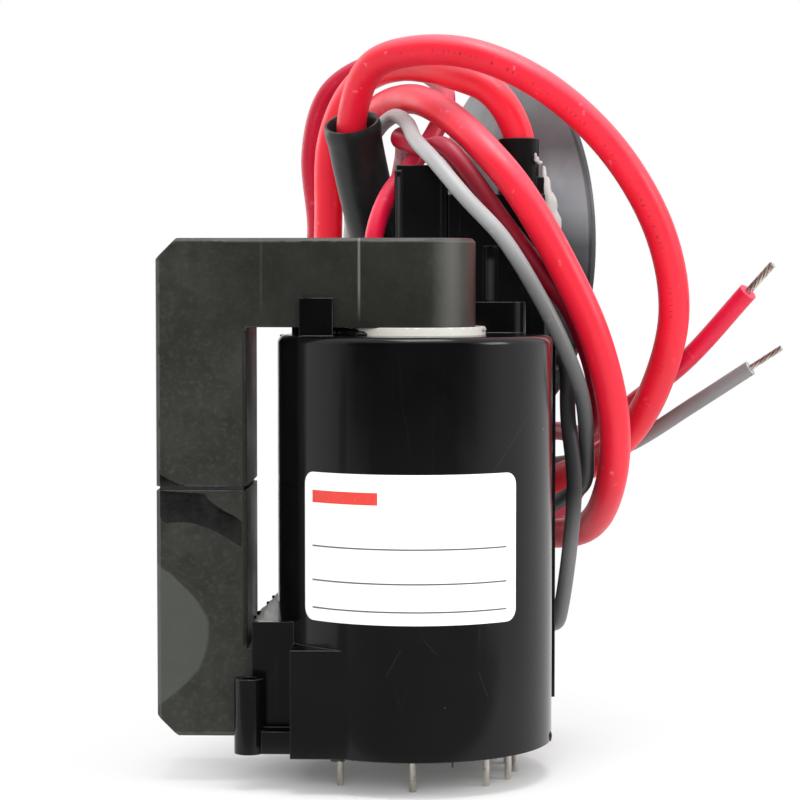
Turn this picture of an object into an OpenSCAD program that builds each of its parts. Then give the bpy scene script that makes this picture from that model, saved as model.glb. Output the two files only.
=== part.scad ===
// Flyback transformer: potted high voltage winding on a ferrite U core,
// with a focus and screen unit behind it, an anode lead with its rubber cap
// and two thinner leads. Origin on the round leg's axis, in the plane of the board.

/* [Core] */
// Radius of the round leg that carries the windings
leg_r = 8.8; // [7.5:0.1:9.6]
// Width of the square outer leg
outer_leg_w = 13; // [10:0.5:16]
// Height of each yoke
yoke_h = 12.7; // [10:0.1:15]
// Height of one core half
half_h = 35.45; // [32:0.05:42]
// Thickness of the spacers between the core halves
spacer_t = 0.5; // [0.2:0.1:1.2]
// Height of the lower yoke above the board
core_lift = 1.5; // [1.2:0.1:3]
// Cut across the outer corners of the core
corner_cut = 3; // [1:0.5:5]
// Bevel along the pressed edges of the core
core_bevel = 0.5; // [0.2:0.1:0.9]

/* [Case] */
// Wall of the case
case_wall = 1.5; // [1:0.1:2]
// Rounding of the case's top edge
case_round = 1.2; // [0.4:0.1:1.4]
// Gap between the case and the outer leg
leg_gap = 3.8; // [3:0.1:8]
// Height of the white collar above the case
collar_h = 1.2; // [0.6:0.1:3]
// Reach of the rear flange beyond the drum on each side
flange_rim = 1.1; // [0.6:0.1:3]
// Reach of the rear flange behind the drum
flange_back = 0.5; // [0.3:0.1:4]
// Height of the raised step behind the upper yoke
step_h = 4.6; // [2:0.2:8]
// Height that the front guide plate stands above the lower yoke; the rear one ends level with it
guide_rise = 4.1; // [2:0.1:8]
// Thickness of the guide plates and of the locating tabs
guide_t = 1.4; // [0.8:0.1:2]
// Length of the locating tabs along the yoke
tab_len = 4.8; // [3:0.2:8]
// Height of the locating tabs above the case
tab_h = 5.4; // [3:0.2:9]
// Outer radius of the screw post
post_r = 2.1; // [1.8:0.1:2.6]
// Radius of the screw post's bore
post_bore_r = 1.05; // [0.6:0.05:1.4]
// Height of the screw post
post_h = 10.7; // [6:0.1:14]
// Height of the flat corner block beside the post
block_h = 15.3; // [8:0.1:20]

/* [Windings] */
// Sliding clearance between the core and the bobbin
slide_fit = 0.3; // [0.15:0.05:0.5]
// Wall of the bobbin's tube
bobbin_wall = 1.15; // [0.8:0.05:1.6]
// Radial build of the primary winding
primary_t = 0.9; // [0.5:0.1:1.2]
// Radial build of the auxiliary winding
auxiliary_t = 0.5; // [0.3:0.1:0.8]
// Wall of the high voltage bobbin's tube
hv_wall = 0.9; // [0.6:0.1:1.2]
// Radial build of the high voltage winding
hv_build = 2.65; // [1.8:0.05:4]
// Number of winding slots in the high voltage bobbin
hv_slots = 8; // [5:1:10]
// Thickness of the flanges between the slots
hv_flange_t = 0.9; // [0.6:0.1:1.4]
// Depth that the flanges stand above the wire
hv_flange_rise = 0.8; // [0.3:0.1:1.2]
// Radius of a high voltage diode
diode_r = 1; // [0.7:0.05:1.1]
// Length of a high voltage diode
diode_len = 8; // [5:0.5:12]

/* [Pins] */
// Distance from the case's inner wall to the circle that the pins stand on
pin_inset = 3.8; // [2:0.1:4.2]
// Radius of one pin
pin_r = 0.5; // [0.3:0.05:0.6]
// Radius of a pin's root, where the wire ends are wound on and soldered
pin_root_r = 0.65; // [0.5:0.05:0.9]
// Length of the pins below the board plane
pin_len = 5.1; // [3:0.1:7]
// Thickness of the base plate that holds the pins
base_t = 3; // [2:0.2:5]
// Thickness of the resin layer under the base plate
resin_t = 1.2; // [0.6:0.1:1.8]

/* [Focus unit] */
// Distance that the focus unit's sides stand in from the flange's edges
unit_inset = 1.6; // [0.6:0.1:3]
// Depth of the focus unit
unit_d = 14.1; // [12:0.1:16]
// Height of the focus unit's underside above the board
unit_z = 4; // [3:0.5:6]
// Height of the focus unit's top above the board
unit_top = 72; // [66:0.5:73]
// Wall of the focus unit
unit_wall = 1.6; // [1:0.1:2.2]
// Top of the raised shoulder under the anode lead
shoulder_top = 80; // [76:0.5:82]
// Top of the square tower
tower_top = 84.5; // [78:0.5:85]
// Width of the square tower
tower_w = 7.85; // [6:0.05:9]
// Top of the round tower that holds the anode lead
lead_tower_top = 88.8; // [85:0.1:89]
// Outer radius of the round tower
lead_tower_r = 3.2; // [2.9:0.1:4]
// Thickness of the ceramic resistor plate
plate_t = 0.8; // [0.5:0.1:1.5]
// Distance between the two adjusters
knob_pitch = 24; // [18:0.5:28]
// Radius of the adjuster knobs
knob_r = 5.5; // [4.5:0.1:7]
// Length of the knobs outside the unit
knob_len = 5; // [3:0.2:6]
// Radius of the adjuster shafts
shaft_r = 3; // [2:0.1:3.5]
// Running clearance of the adjuster shafts
shaft_fit = 0.05; // [0.02:0.01:0.1]

/* [Leads] */
// Diameter of the anode lead
anode_d = 4.8; // [4:0.1:4.8]
// Diameter of the focus lead
focus_d = 3; // [2:0.1:3]
// Diameter of the screen lead
screen_d = 2.4; // [1.6:0.1:2.4]
// Clearance around a lead where it enters the unit
lead_fit = 0.1; // [0.05:0.05:0.2]
// Length of the bare wire at a lead's end
tip_len = 6; // [3:0.5:10]

/* [Anode cap] */
// Radius of the cap's rim
cap_r = 29.5; // [26:0.5:30]
// Radius of the cap's hub
hub_r = 17; // [15:0.5:18]
// Height of the hub above the rim
hub_h = 12; // [10:0.5:12.5]
// Thickness of the rubber at the rim
rim_t = 1.2; // [0.8:0.1:2]
// Radius of the pocket that holds the clip
pocket_r = 9; // [7:0.5:11]
// Outer radius of the cap's neck
neck_r = 4.4; // [4:0.1:4.5]

/* [Label] */
// Height of the label
label_h = 20.9; // [10:0.5:24]
// Height of the label's lower edge above the board
label_z = 19.2; // [16:0.2:22]
// Angle that the label covers on the case
label_angle = 95; // [40:1:110]
// Thickness of the label
label_t = 0.12; // [0.08:0.01:0.2]

/* [Hidden] */
$fn = 64;
cut = 0.5;
rest_gap = 0.05;

// Radial stack from the round leg out to the case
bobbin_bore_r = leg_r + slide_fit;
bobbin_r = bobbin_bore_r + bobbin_wall;
primary_r = bobbin_r + primary_t;
auxiliary_r = primary_r + auxiliary_t;
hv_bore_r = auxiliary_r + slide_fit;
hv_tube_r = hv_bore_r + hv_wall;
hv_wire_r = hv_tube_r + hv_build;
hv_flange_r = hv_wire_r + hv_flange_rise;
case_in_r = hv_flange_r + 2 * diode_r + 4 * rest_gap;
case_r = case_in_r + case_wall;
pin_circle_r = case_in_r - pin_inset;

// Core heights and reach
outer_leg_x = case_r + leg_gap + outer_leg_w;
lower_yoke_top = core_lift + yoke_h;
joint_z = core_lift + half_h;
core_top = core_lift + 2 * half_h + spacer_t;
upper_yoke_z = core_top - yoke_h;

// Case heights and radii
case_h = upper_yoke_z - collar_h;
case_ceiling = case_h - case_wall;
yoke_way = leg_r + slide_fit;
flange_half_w = case_r + flange_rim;
flange_y = case_r + flange_back;
flange_t = 3;
flange_z = 2.8;
flange_top = case_h - 0.5;
step_half_w = case_r - 3.6;
step_corner = 3;
block_x0 = -case_r + 2.9;
block_x1 = -leg_r;
block_y = -case_r + 2.5;
guide_end = case_r + 3;
post_x = -case_r - 3.2;
post_y = -yoke_way - guide_t - post_r - 0.4;
web_h = 3.2;
tab_x = -case_r + 3.8;

// Axial stack from the board up to the case's ceiling
base_z = resin_t + 0.8;
floor_z = lower_yoke_top + slide_fit;
floor_t = 1.2;
winding_z = floor_z + floor_t;
bobbin_flange_t = 1;
bobbin_flange_z = case_ceiling - slide_fit - bobbin_flange_t;
base_r = case_in_r - 2 * rest_gap;
hv_h = bobbin_flange_z - winding_z;
hv_pitch = (hv_h - hv_flange_t) / hv_slots;
diode_angles = [55, 90, 125];
diode_circle_r = case_in_r - diode_r - 2 * rest_gap;
pin_angles = [0, 22.5, -22.5, 45, -45, 90, -90, 135, -135, 67.5];

// Focus unit
unit_half_w = flange_half_w - unit_inset;
unit_back = flange_y + unit_d;
cavity_back = unit_back - unit_wall;
cavity_half_w = unit_half_w - unit_wall;
cavity_z = unit_z + unit_wall;
cavity_top = flange_top - unit_wall;
unit_corner = 2;
tower_x = 0.475;
tower_y = flange_y + 4.25;
tower_d = 7.5;
tower_wall = 1;
tower_depth = 6;
tower_rib = 0.9;
lead_tower_pos = [15.5, 27];
shoulder_x = 4.6;
shoulder_d = 12.9;
shoulder_rib_h = 2.8;
front_rib_x = 11.1;
front_rib_r = 1;
knob_x = -8;
plate_mid = (cavity_z + cavity_top) / 2;
knob_z = [plate_mid + knob_pitch / 2, plate_mid - knob_pitch / 2];
collar_r = shaft_r + 2.2;
collar_t = 1;
run_gap = 0.3;
plate_y = flange_y + 3.5;
plate_gap = 0.3;
plate_post = 3;
wiper_t = 0.4;
wiper_y = plate_y + plate_t + run_gap;
knob_y = unit_back + collar_t + run_gap;
wiper_reach = 8;
wiper_w = 2.2;
flute_count = 14;
flute_r = 0.8;
slot_w = 1.2;
slot_depth = 1.5;
nozzle_h = 1.2;
nozzle_wall = 1;

// Anode cap
cap_pos = [15, 56, 72.6];
cap_turn = 26;
cone_h = 6;
hub_top_r = hub_r - 4;
cup_depth = 5.2;
cup_r = cap_r - 1.5;
cup_inner_r = pocket_r + 3;
pocket_z = hub_h - 2;
clip_r = pocket_r - 3;
clip_t = 0.8;
hook_w = 2.2;
hook_t = 0.6;
hook_h = 3.2;
hook_foot = 1.4;
mouth_r = 3.6;

// Routes of the leads, from their exits to their far ends
anode_route = [
    [15.5, 27, 83], [15.5, 27, 89], [12.5, 28, 95], [7.5, 32, 98.5], [-3, 44, 101.5],
    [-11, 54, 99], [-15.5, 58, 90], [-16, 58, 77], [-16, 56, 62], [-15, 53, 46],
    [-7, 51, 33], [6, 49, 26], [19, 46, 25], [27, 38, 27], [30, 26, 35],
    [30, 18, 46], [27, 15, 58], [22, 15, 69], [16, 16, 79.5], [10.5, 20, 86.5],
    [4, 30, 93], [-2, 41, 96], [-8, 52, 94], [-10.5, 57, 85], [-10.5, 56, 70],
    [-7, 53, 53], [3, 50, 38], [14, 48, 32], [24, 43, 35], [32, 34, 41],
    [37, 27, 50], [39.5, 23, 62], [37, 21, 74.5], [30, 20, 86.5], [20, 21, 96],
    [9, 24, 101.5], [-1, 28, 102.5], [-8, 32, 100], [-11, 37, 92], [-10, 40, 86],
];
focus_route = [
    [-7, 29, 69], [-7, 29, 74], [-5, 31.5, 80], [-1, 35, 85.5], [2, 38, 90],
    [4, 43, 95], [3, 50, 99], [-3, 58, 103], [-10.5, 63, 103], [-17, 64, 98],
    [-19.5, 64, 88], [-18.5, 64, 75], [-20, 64, 64], [-18, 64, 57.5], [-13.5, 64, 55],
    [-8.5, 64, 57], [-6.5, 64, 62.5], [-6, 64, 75], [-4, 60, 84], [-3, 51, 88],
    [-3, 42, 90], [-3, 35, 89], [1, 29, 87.5], [5, 21, 86.5], [13.5, 17, 75],
    [18.5, 18, 68.5], [23.5, 19.5, 62], [27, 22, 53], [28, 28, 45], [26, 37, 42],
    [22, 45, 42], [17, 52, 40], [12, 58, 38], [9, 64, 33], [11, 69, 27],
    [18, 69, 24], [24, 64, 27], [28, 56, 35], [32, 46, 44], [42, 31, 54],
    [51, 24, 65],
];
screen_route = [
    [-13, 33, 60], [-13, 39, 60], [-13, 45, 64], [-12, 49, 72], [-11, 50, 82],
    [-8, 47, 90], [-4.5, 39, 93], [-2, 31, 91.5], [-0.5, 24, 88.5], [2.5, 17, 85],
    [7.5, 12, 79], [13, 11, 73], [18, 11, 65], [22, 11, 57], [25, 14, 49],
    [26, 21, 41], [26, 28, 35], [23, 34, 32], [19, 38, 29], [15, 39, 24],
    [14, 39, 18], [16, 37, 13.5], [21, 32, 12], [22.5, 25, 16.5], [24, 18, 34],
    [23, 18, 46], [23, 23, 53], [22, 30, 54], [17, 37, 51], [12, 42, 47],
    [9, 47, 43], [12, 52, 38], [19, 52, 36], [26, 48, 37], [34, 42, 40],
    [43.5, 33, 47], [52, 29, 53],
];
neck_route = [
    [5, 51, 72.6], [0, 48.6, 71.5], [-4, 46.6, 71.5], [-7, 44.8, 74],
    [-8.5, 43, 79], [-10, 40, 86], [-11, 37, 92],
];
anode_rings = 66;
thin_rings = 66;
neck_rings = 18;
anode_sides = 10;
thin_sides = 8;
neck_sides = 20;

// Point at parameter u on the smooth curve through a route's points
function end_safe(route, i) =
    i < 0 ? 2 * route[0] - route[1] :
    i > len(route) - 1 ? 2 * route[len(route) - 1] - route[len(route) - 2] : route[i];
function curve_blend(a, b, c, d, t) =
    (2 * b + (c - a) * t + (2 * a - 5 * b + 4 * c - d) * t * t + (3 * b - a - 3 * c + d) * t * t * t) / 2;
function curve_at(route, u) =
    let (i = min(floor(u), len(route) - 2))
    curve_blend(end_safe(route, i - 1), route[i], route[i + 1], end_safe(route, i + 2), u - i);
function unit(v) = v / norm(v);
function across(v, t) = unit(v - (v * t) * t);

// Tube swept along a route: each ring's frame is carried on from the ring before it
module swept_tube(route, radii, rings, sides) {
    span = len(route) - 1;
    centres = [for (i = [0:rings]) curve_at(route, span * i / rings)];
    runs = [for (i = [0:rings]) unit(centres[min(i + 1, rings)] - centres[max(i - 1, 0)])];
    first = across(abs(runs[0].z) < 0.8 ? [0, 0, 1] : [1, 0, 0], runs[0]);
    normals = [for (i = 0, v = first; i <= rings; i = i + 1, v = i <= rings ? across(v, runs[i]) : v) v];
    points = [
        for (i = [0:rings], k = [0:sides - 1])
            let (side = cross(runs[i], normals[i]), a = 360 * k / sides, r = lookup(i / rings, radii))
            centres[i] + r * (cos(a) * normals[i] + sin(a) * side)
    ];
    walls = [
        for (i = [0:rings - 1], k = [0:sides - 1])
            let (a = i * sides + k, b = i * sides + (k + 1) % sides)
            each [[a, a + sides, b], [b, a + sides, b + sides]]
    ];
    caps = [
        [for (k = [0:sides - 1]) k],
        [for (k = [sides - 1:-1:0]) rings * sides + k],
    ];
    polyhedron(points, concat(walls, caps), convexity = 10);
}

// Places children with their +Z along the line from one point to another
module along(from, to) {
    v = to - from;
    translate(from)
        rotate([0, acos(v.z / norm(v)), atan2(v.y, v.x)])
            children();
}

// Rectangle with rounded corners, centred
module rounded_rect(size, r) {
    square([size.x - 2 * r, size.y], center = true);
    square([size.x, size.y - 2 * r], center = true);
    for (sx = [-1, 1], sy = [-1, 1])
        translate([sx * (size.x / 2 - r), sy * (size.y / 2 - r)])
            circle(r);
}

// Ring between two radii
module ring(r_in, r_out, h) {
    difference() {
        cylinder(r = r_out, h = h);
        translate([0, 0, -cut])
            cylinder(r = r_in, h = h + 2 * cut);
    }
}

// Space that the lower yoke and its round end need, with the sliding clearance
module yoke_channel(reach, h) {
    translate([-reach, -yoke_way, 0])
        cube([reach, 2 * yoke_way, h]);
    cylinder(r = yoke_way, h = h);
}

// Body of revolution of the case with its rounded top edge
module case_drum() {
    rotate_extrude()
        union() {
            square([case_r, case_h - case_round]);
            square([case_r - case_round, case_h]);
            translate([case_r - case_round, case_h - case_round])
                intersection() {
                    circle(case_round);
                    square(case_round);
                }
        }
}

module guide_plate(h) {
    translate([-guide_end, yoke_way, 0])
        cube([guide_end - case_r * cos(asin(yoke_way / case_r)) + guide_t, guide_t, h]);
}

module locating_tab() {
    translate([tab_x, yoke_way, case_ceiling])
        cube([tab_len, guide_t, case_wall + tab_h]);
}

module case() {
    rear_half_w = case_r - 2.5;
    color("#111114")
    difference() {
        union() {
            case_drum();
            translate([-rear_half_w, 0, flange_z])
                cube([2 * rear_half_w, flange_y, flange_top - flange_z]);
            translate([-flange_half_w, flange_y - flange_t, flange_z])
                cube([2 * flange_half_w, flange_t, flange_top - flange_z]);
            translate([0, (yoke_way + flange_y + step_corner) / 2, case_ceiling])
                linear_extrude(case_wall + step_h)
                    intersection() {
                        rounded_rect([2 * step_half_w, flange_y - yoke_way + step_corner], step_corner);
                        translate([-step_half_w, -(flange_y - yoke_way + step_corner) / 2])
                            square([2 * step_half_w, flange_y - yoke_way - step_corner / 2]);
                    }
            for (side = [0, 1])
                mirror([0, side, 0]) {
                    guide_plate(lower_yoke_top + side * guide_rise);
                    locating_tab();
                }
            translate([block_x0, block_y, 0])
                cube([block_x1 - block_x0, -block_y - yoke_way, block_h]);
            translate([post_x, post_y, 0])
                cylinder(r = post_r, h = post_h);
            translate([post_x, post_y - post_r / 2, 0])
                cube([block_x0 - post_x + cut, -yoke_way - post_y + post_r / 2, web_h]);
        }
        translate([0, 0, -cut])
            cylinder(r = case_in_r, h = case_ceiling + cut);
        translate([-rear_half_w + case_wall, 0, flange_z + case_wall])
            cube([2 * (rear_half_w - case_wall), flange_y - flange_t, case_ceiling - flange_z - case_wall]);
        translate([0, 0, -cut])
            cylinder(r = bobbin_r + slide_fit / 2, h = upper_yoke_z + 2 * cut);
        translate([0, 0, -cut])
            yoke_channel(guide_end + cut, floor_z + cut);
        translate([post_x, post_y, -cut])
            cylinder(r = post_bore_r, h = post_h + 2 * cut);
    }
}

// Outline of a core half from below: yoke with one round end
module core_outline() {
    translate([-outer_leg_x, -leg_r])
        square([outer_leg_x, 2 * leg_r]);
    circle(leg_r);
}

// Three-sided section that takes the edge off a corner whose outside lies towards sx, sy
module edge_section(sx, sy) {
    polygon([[sx * cut, sy * cut], [-sx * (core_bevel + cut), sy * cut], [sx * cut, -sy * (core_bevel + cut)]]);
}

// One U half: yoke below, round leg on the axis, square outer leg at -X
module core_half() {
    cut_side = corner_cut * sqrt(2);
    leg_inner_x = outer_leg_x - outer_leg_w;
    color("#3e403a")
    difference() {
        union() {
            linear_extrude(yoke_h)
                core_outline();
            translate([-outer_leg_x, -leg_r, 0])
                cube([outer_leg_w, 2 * leg_r, half_h]);
            cylinder(r = leg_r, h = half_h);
        }
        translate([-outer_leg_x, 0, 0])
            rotate([0, 45, 0])
                cube([cut_side, 4 * leg_r, cut_side], center = true);
        for (side = [-1, 1]) {
            translate([-outer_leg_x, side * leg_r, -cut])
                linear_extrude(half_h + 2 * cut)
                    edge_section(-1, side);
            translate([-leg_inner_x, side * leg_r, yoke_h + core_bevel])
                linear_extrude(half_h)
                    edge_section(1, side);
            translate([-outer_leg_x - cut, side * leg_r, 0])
                rotate([90, 0, 90])
                    linear_extrude(outer_leg_x + cut)
                        edge_section(side, -1);
        }
        rotate([0, 0, -90])
            rotate_extrude(angle = 180)
                translate([leg_r, 0])
                    edge_section(1, -1);
    }
}

module core_lower() {
    translate([0, 0, core_lift])
        core_half();
}

module core_upper() {
    translate([0, 0, core_top])
        mirror([0, 0, 1])
            core_half();
}

module gap_spacers() {
    color("#15171a")
    translate([0, 0, joint_z]) {
        cylinder(r = leg_r - core_bevel, h = spacer_t);
        translate([-outer_leg_x + core_bevel, -leg_r + core_bevel, 0])
            cube([outer_leg_w - 2 * core_bevel, 2 * (leg_r - core_bevel), spacer_t]);
    }
}

module at_pins() {
    for (a = pin_angles)
        rotate([0, 0, a])
            translate([pin_circle_r, 0, 0])
                children();
}

// White moulding: pin base with a channel for the lower yoke, and the winding tube above it
module winding_bobbin() {
    wall = bobbin_r - bobbin_bore_r;
    color("#e9e7df")
    difference() {
        union() {
            translate([0, 0, base_z])
                cylinder(r = base_r, h = base_t);
            translate([0, 0, base_z])
                intersection() {
                    union() {
                        translate([-base_r, -yoke_way - wall, 0])
                            cube([base_r, 2 * (yoke_way + wall), floor_z - base_z]);
                        cylinder(r = yoke_way + wall, h = floor_z - base_z);
                    }
                    cylinder(r = base_r, h = floor_z - base_z);
                }
            translate([0, 0, floor_z])
                cylinder(r = base_r, h = floor_t);
            translate([0, 0, floor_z])
                cylinder(r = bobbin_r, h = upper_yoke_z - rest_gap - floor_z);
            translate([0, 0, bobbin_flange_z])
                cylinder(r = auxiliary_r, h = bobbin_flange_t);
        }
        translate([0, 0, -cut])
            cylinder(r = bobbin_bore_r, h = core_top);
        translate([0, 0, -cut])
            yoke_channel(case_r, floor_z + cut);
        at_pins()
            translate([0, 0, base_z - cut])
                cylinder(r = pin_root_r + rest_gap, h = base_t + 2 * cut);
    }
}

module primary_winding() {
    color("#b5652b")
    translate([0, 0, winding_z + rest_gap])
        ring(bobbin_r + rest_gap, primary_r, bobbin_flange_z - winding_z - 2 * rest_gap);
}

module auxiliary_winding() {
    color("#c98a3c")
    translate([0, 0, winding_z + rest_gap])
        ring(primary_r + rest_gap, auxiliary_r, (bobbin_flange_z - winding_z) / 2);
}

// Slotted bobbin for the high voltage winding
module hv_bobbin() {
    color("#d8d4c8")
    translate([0, 0, winding_z])
        difference() {
            union() {
                cylinder(r = hv_tube_r, h = hv_h);
                for (i = [0:hv_slots])
                    translate([0, 0, i * hv_pitch])
                        cylinder(r = hv_flange_r, h = hv_flange_t);
            }
            translate([0, 0, -cut])
                cylinder(r = hv_bore_r, h = hv_h + 2 * cut);
        }
}

module hv_windings() {
    color("#a4552a")
    for (i = [0:hv_slots - 1])
        translate([0, 0, winding_z + i * hv_pitch + hv_flange_t + rest_gap])
            ring(hv_tube_r + rest_gap, hv_wire_r, hv_pitch - hv_flange_t - 2 * rest_gap);
}

module at_diodes() {
    for (i = [0:len(diode_angles) - 1])
        rotate([0, 0, diode_angles[i]])
            translate([diode_circle_r, 0, winding_z + (i + 1) * hv_h / (len(diode_angles) + 1) - diode_len / 2])
                children();
}

module hv_diodes() {
    color("#1b1b1d")
    at_diodes()
        cylinder(r = diode_r, h = diode_len);
}

// Cast resin: the layer that shows round the pins, and the jacket round the high voltage bobbin
module potting_resin() {
    color("#2a2622") {
        difference() {
            translate([0, 0, base_z - resin_t])
                cylinder(r = base_r, h = resin_t);
            translate([0, 0, -cut])
                yoke_channel(case_r, floor_z);
            at_pins()
                translate([0, 0, -cut])
                    cylinder(r = pin_root_r + rest_gap, h = base_z + 2 * cut);
        }
        difference() {
            translate([0, 0, winding_z + rest_gap])
                ring(hv_flange_r + rest_gap, base_r, hv_h - rest_gap);
            at_diodes()
                translate([0, 0, -rest_gap])
                    cylinder(r = diode_r + rest_gap, h = diode_len + 2 * rest_gap);
        }
    }
}

module terminal_pins() {
    color("#c9c3b6")
    at_pins() {
        translate([0, 0, -pin_len])
            cylinder(r = pin_r, h = pin_len + base_z);
        cylinder(r = pin_root_r, h = base_z + base_t);
    }
}

module knob_axis(z) {
    translate([knob_x, 0, z])
        rotate([-90, 0, 0])
            children();
}

// Housing of the focus and screen adjusters, with the towers that the leads come out of
module focus_case() {
    unit_h = unit_top - unit_z;
    color("#131316")
    difference() {
        union() {
            translate([0, flange_y + unit_d / 2, unit_z])
                linear_extrude(unit_h)
                    difference() {
                        union() {
                            rounded_rect([2 * unit_half_w, unit_d], unit_corner);
                            translate([-unit_half_w, -unit_d / 2])
                                square([2 * unit_half_w, unit_d / 2]);
                        }
                    }
            translate([shoulder_x, flange_y, unit_top - unit_wall])
                cube([unit_half_w - shoulder_x, shoulder_d, shoulder_top - unit_top + unit_wall]);
            translate([lead_tower_pos.x, lead_tower_pos.y - lead_tower_r / 2, shoulder_top - unit_wall])
                cube([unit_half_w - lead_tower_pos.x, lead_tower_r, shoulder_rib_h + unit_wall]);
            translate([lead_tower_pos.x, lead_tower_pos.y, shoulder_top - unit_wall])
                cylinder(r = lead_tower_r, h = lead_tower_top - shoulder_top + unit_wall);
            translate([tower_x, tower_y, unit_top - unit_wall])
                linear_extrude(tower_top - unit_top + unit_wall)
                    rounded_rect([tower_w, tower_d], tower_wall / 2);
            for (x = [tower_x - tower_w / 2, tower_x + tower_w / 2 - tower_rib])
                translate([x, tower_y - tower_d / 2 - tower_rib / 2, unit_top - unit_wall])
                    cube([tower_rib, tower_rib, tower_top - tower_rib - unit_top + unit_wall]);
            translate([front_rib_x, flange_y, case_h + step_h])
                cylinder(r = front_rib_r, h = unit_top - case_h - step_h);
            translate([focus_route[0].x, focus_route[0].y, unit_top - unit_wall])
                cylinder(r = focus_d / 2 + lead_fit + nozzle_wall, h = nozzle_h + unit_wall);
            translate([screen_route[0].x, cavity_back, screen_route[0].z])
                rotate([-90, 0, 0])
                    cylinder(r = screen_d / 2 + lead_fit + nozzle_wall, h = nozzle_h + unit_wall);
            for (z = knob_z)
                knob_axis(z)
                    translate([0, 0, cavity_back])
                        cylinder(r = collar_r, h = unit_wall + collar_t);
        }
        difference() {
            translate([-cavity_half_w, flange_y - cut, cavity_z])
                cube([2 * cavity_half_w, cavity_back - flange_y + cut, cavity_top - cavity_z]);
            for (sx = [-1, 1], z = [cavity_z, cavity_top - plate_post])
                translate([sx * (cavity_half_w - plate_post / 2) - plate_post / 2,
                    plate_y + plate_t + rest_gap, z])
                    cube([plate_post, cavity_back, plate_post]);
        }
        translate([tower_x, tower_y, tower_top - tower_depth])
            linear_extrude(tower_depth + cut)
                rounded_rect([tower_w - 2 * tower_wall, tower_d - 2 * tower_wall], tower_wall / 2);
        translate([lead_tower_pos.x, lead_tower_pos.y, anode_route[0].z])
            cylinder(r = anode_d / 2 + lead_fit, h = lead_tower_top);
        translate(focus_route[0])
            cylinder(r = focus_d / 2 + lead_fit, h = unit_top);
        translate(screen_route[0])
            rotate([-90, 0, 0])
                cylinder(r = screen_d / 2 + lead_fit, h = unit_d);
        for (z = knob_z)
            knob_axis(z)
                translate([0, 0, cavity_back - cut])
                    cylinder(r = shaft_r + shaft_fit, h = unit_d);
    }
}

module resistor_plate() {
    color("#d9d6cc")
    translate([-cavity_half_w + plate_gap, plate_y, cavity_z + plate_gap])
        cube([2 * (cavity_half_w - plate_gap), plate_t, cavity_top - cavity_z - 2 * plate_gap]);
}

// Adjuster: shaft through the unit's rear wall, fluted head with a screwdriver slot
module adjuster(z) {
    knob_axis(z)
        difference() {
            union() {
                translate([0, 0, wiper_y + wiper_t])
                    cylinder(r = shaft_r, h = knob_y - wiper_y - wiper_t + cut);
                translate([0, 0, knob_y])
                    cylinder(r = knob_r, h = knob_len);
            }
            for (i = [0:flute_count - 1])
                rotate([0, 0, 360 * i / flute_count])
                    translate([knob_r + flute_r / 2, 0, knob_y - cut])
                        cylinder(r = flute_r, h = knob_len + 2 * cut);
            translate([-knob_r, -slot_w / 2, knob_y + knob_len - slot_depth])
                cube([2 * knob_r, slot_w, slot_depth + cut]);
        }
}

// Spring contact on the adjuster's inner end
module wiper(z) {
    color("#c9a24a")
    knob_axis(z)
        translate([0, 0, wiper_y])
            linear_extrude(wiper_t)
                union() {
                    circle(shaft_r);
                    translate([0, -wiper_w / 2])
                        square([wiper_reach, wiper_w]);
                    translate([wiper_reach, 0])
                        circle(wiper_w / 2);
                }
}

module focus_knob() {
    color("#d8d5ca")
    adjuster(knob_z[0]);
}

module screen_knob() {
    color("#2b2b2e")
    adjuster(knob_z[1]);
}

module focus_wiper() {
    wiper(knob_z[0]);
}

module screen_wiper() {
    wiper(knob_z[1]);
}

module anode_lead() {
    color("#e8203c")
    swept_tube(anode_route, [[0, anode_d / 2], [1, anode_d / 2]], anode_rings, anode_sides);
}

module focus_lead() {
    color("#c4143a")
    swept_tube(focus_route, [[0, focus_d / 2], [1, focus_d / 2]], thin_rings, thin_sides);
}

module screen_lead() {
    color("#8d8d90")
    swept_tube(screen_route, [[0, screen_d / 2], [1, screen_d / 2]], thin_rings, thin_sides);
}

// Stripped and tinned wire at the free ends of the two thinner leads
module lead_tips() {
    color("#cfc8b8")
    for (lead = [[focus_route, focus_d], [screen_route, screen_d]]) {
        last = lead[0][len(lead[0]) - 1];
        before = curve_at(lead[0], len(lead[0]) - 1.1);
        along(last, 2 * last - before)
            cylinder(r = lead[1] / 5, h = tip_len);
    }
}

module cap_frame() {
    translate(cap_pos)
        rotate([0, 0, cap_turn])
            rotate([0, -90, 0])
                children();
}

// Rubber cap: flared skirt, stepped hub with a pocket, and a neck that the lead enters
module anode_cap() {
    color("#3b3d40")
    difference() {
        union() {
            cap_frame()
                rotate_extrude()
                    polygon([
                        [0, pocket_z], [pocket_r, pocket_z], [pocket_r, cup_depth],
                        [cup_inner_r, cup_depth], [cup_r, 0], [cap_r, 0], [cap_r, rim_t],
                        [hub_r, cone_h], [hub_top_r + 2, hub_h - 2], [hub_top_r, hub_h], [0, hub_h],
                    ]);
            swept_tube(neck_route, [[0, neck_r + 0.4], [0.25, neck_r], [0.9, neck_r], [1, neck_r + 0.2]],
                neck_rings, neck_sides);
        }
        along(neck_route[5], neck_route[6])
            cylinder(r1 = anode_d / 2 + lead_fit, r2 = mouth_r,
                h = norm(neck_route[6] - neck_route[5]) + cut);
    }
}

// Spring clip in the cap's pocket: plate with two hooked legs
module anode_clip() {
    color("#b9b6ac")
    cap_frame()
        translate([0, 0, pocket_z - clip_t]) {
            cylinder(r = clip_r, h = clip_t);
            for (side = [0, 180])
                rotate([0, 0, side])
                    translate([clip_r / 2, -hook_w / 2, -hook_h]) {
                        cube([hook_t, hook_w, hook_h + clip_t / 2]);
                        cube([hook_foot, hook_w, hook_t]);
                    }
        }
}

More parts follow.
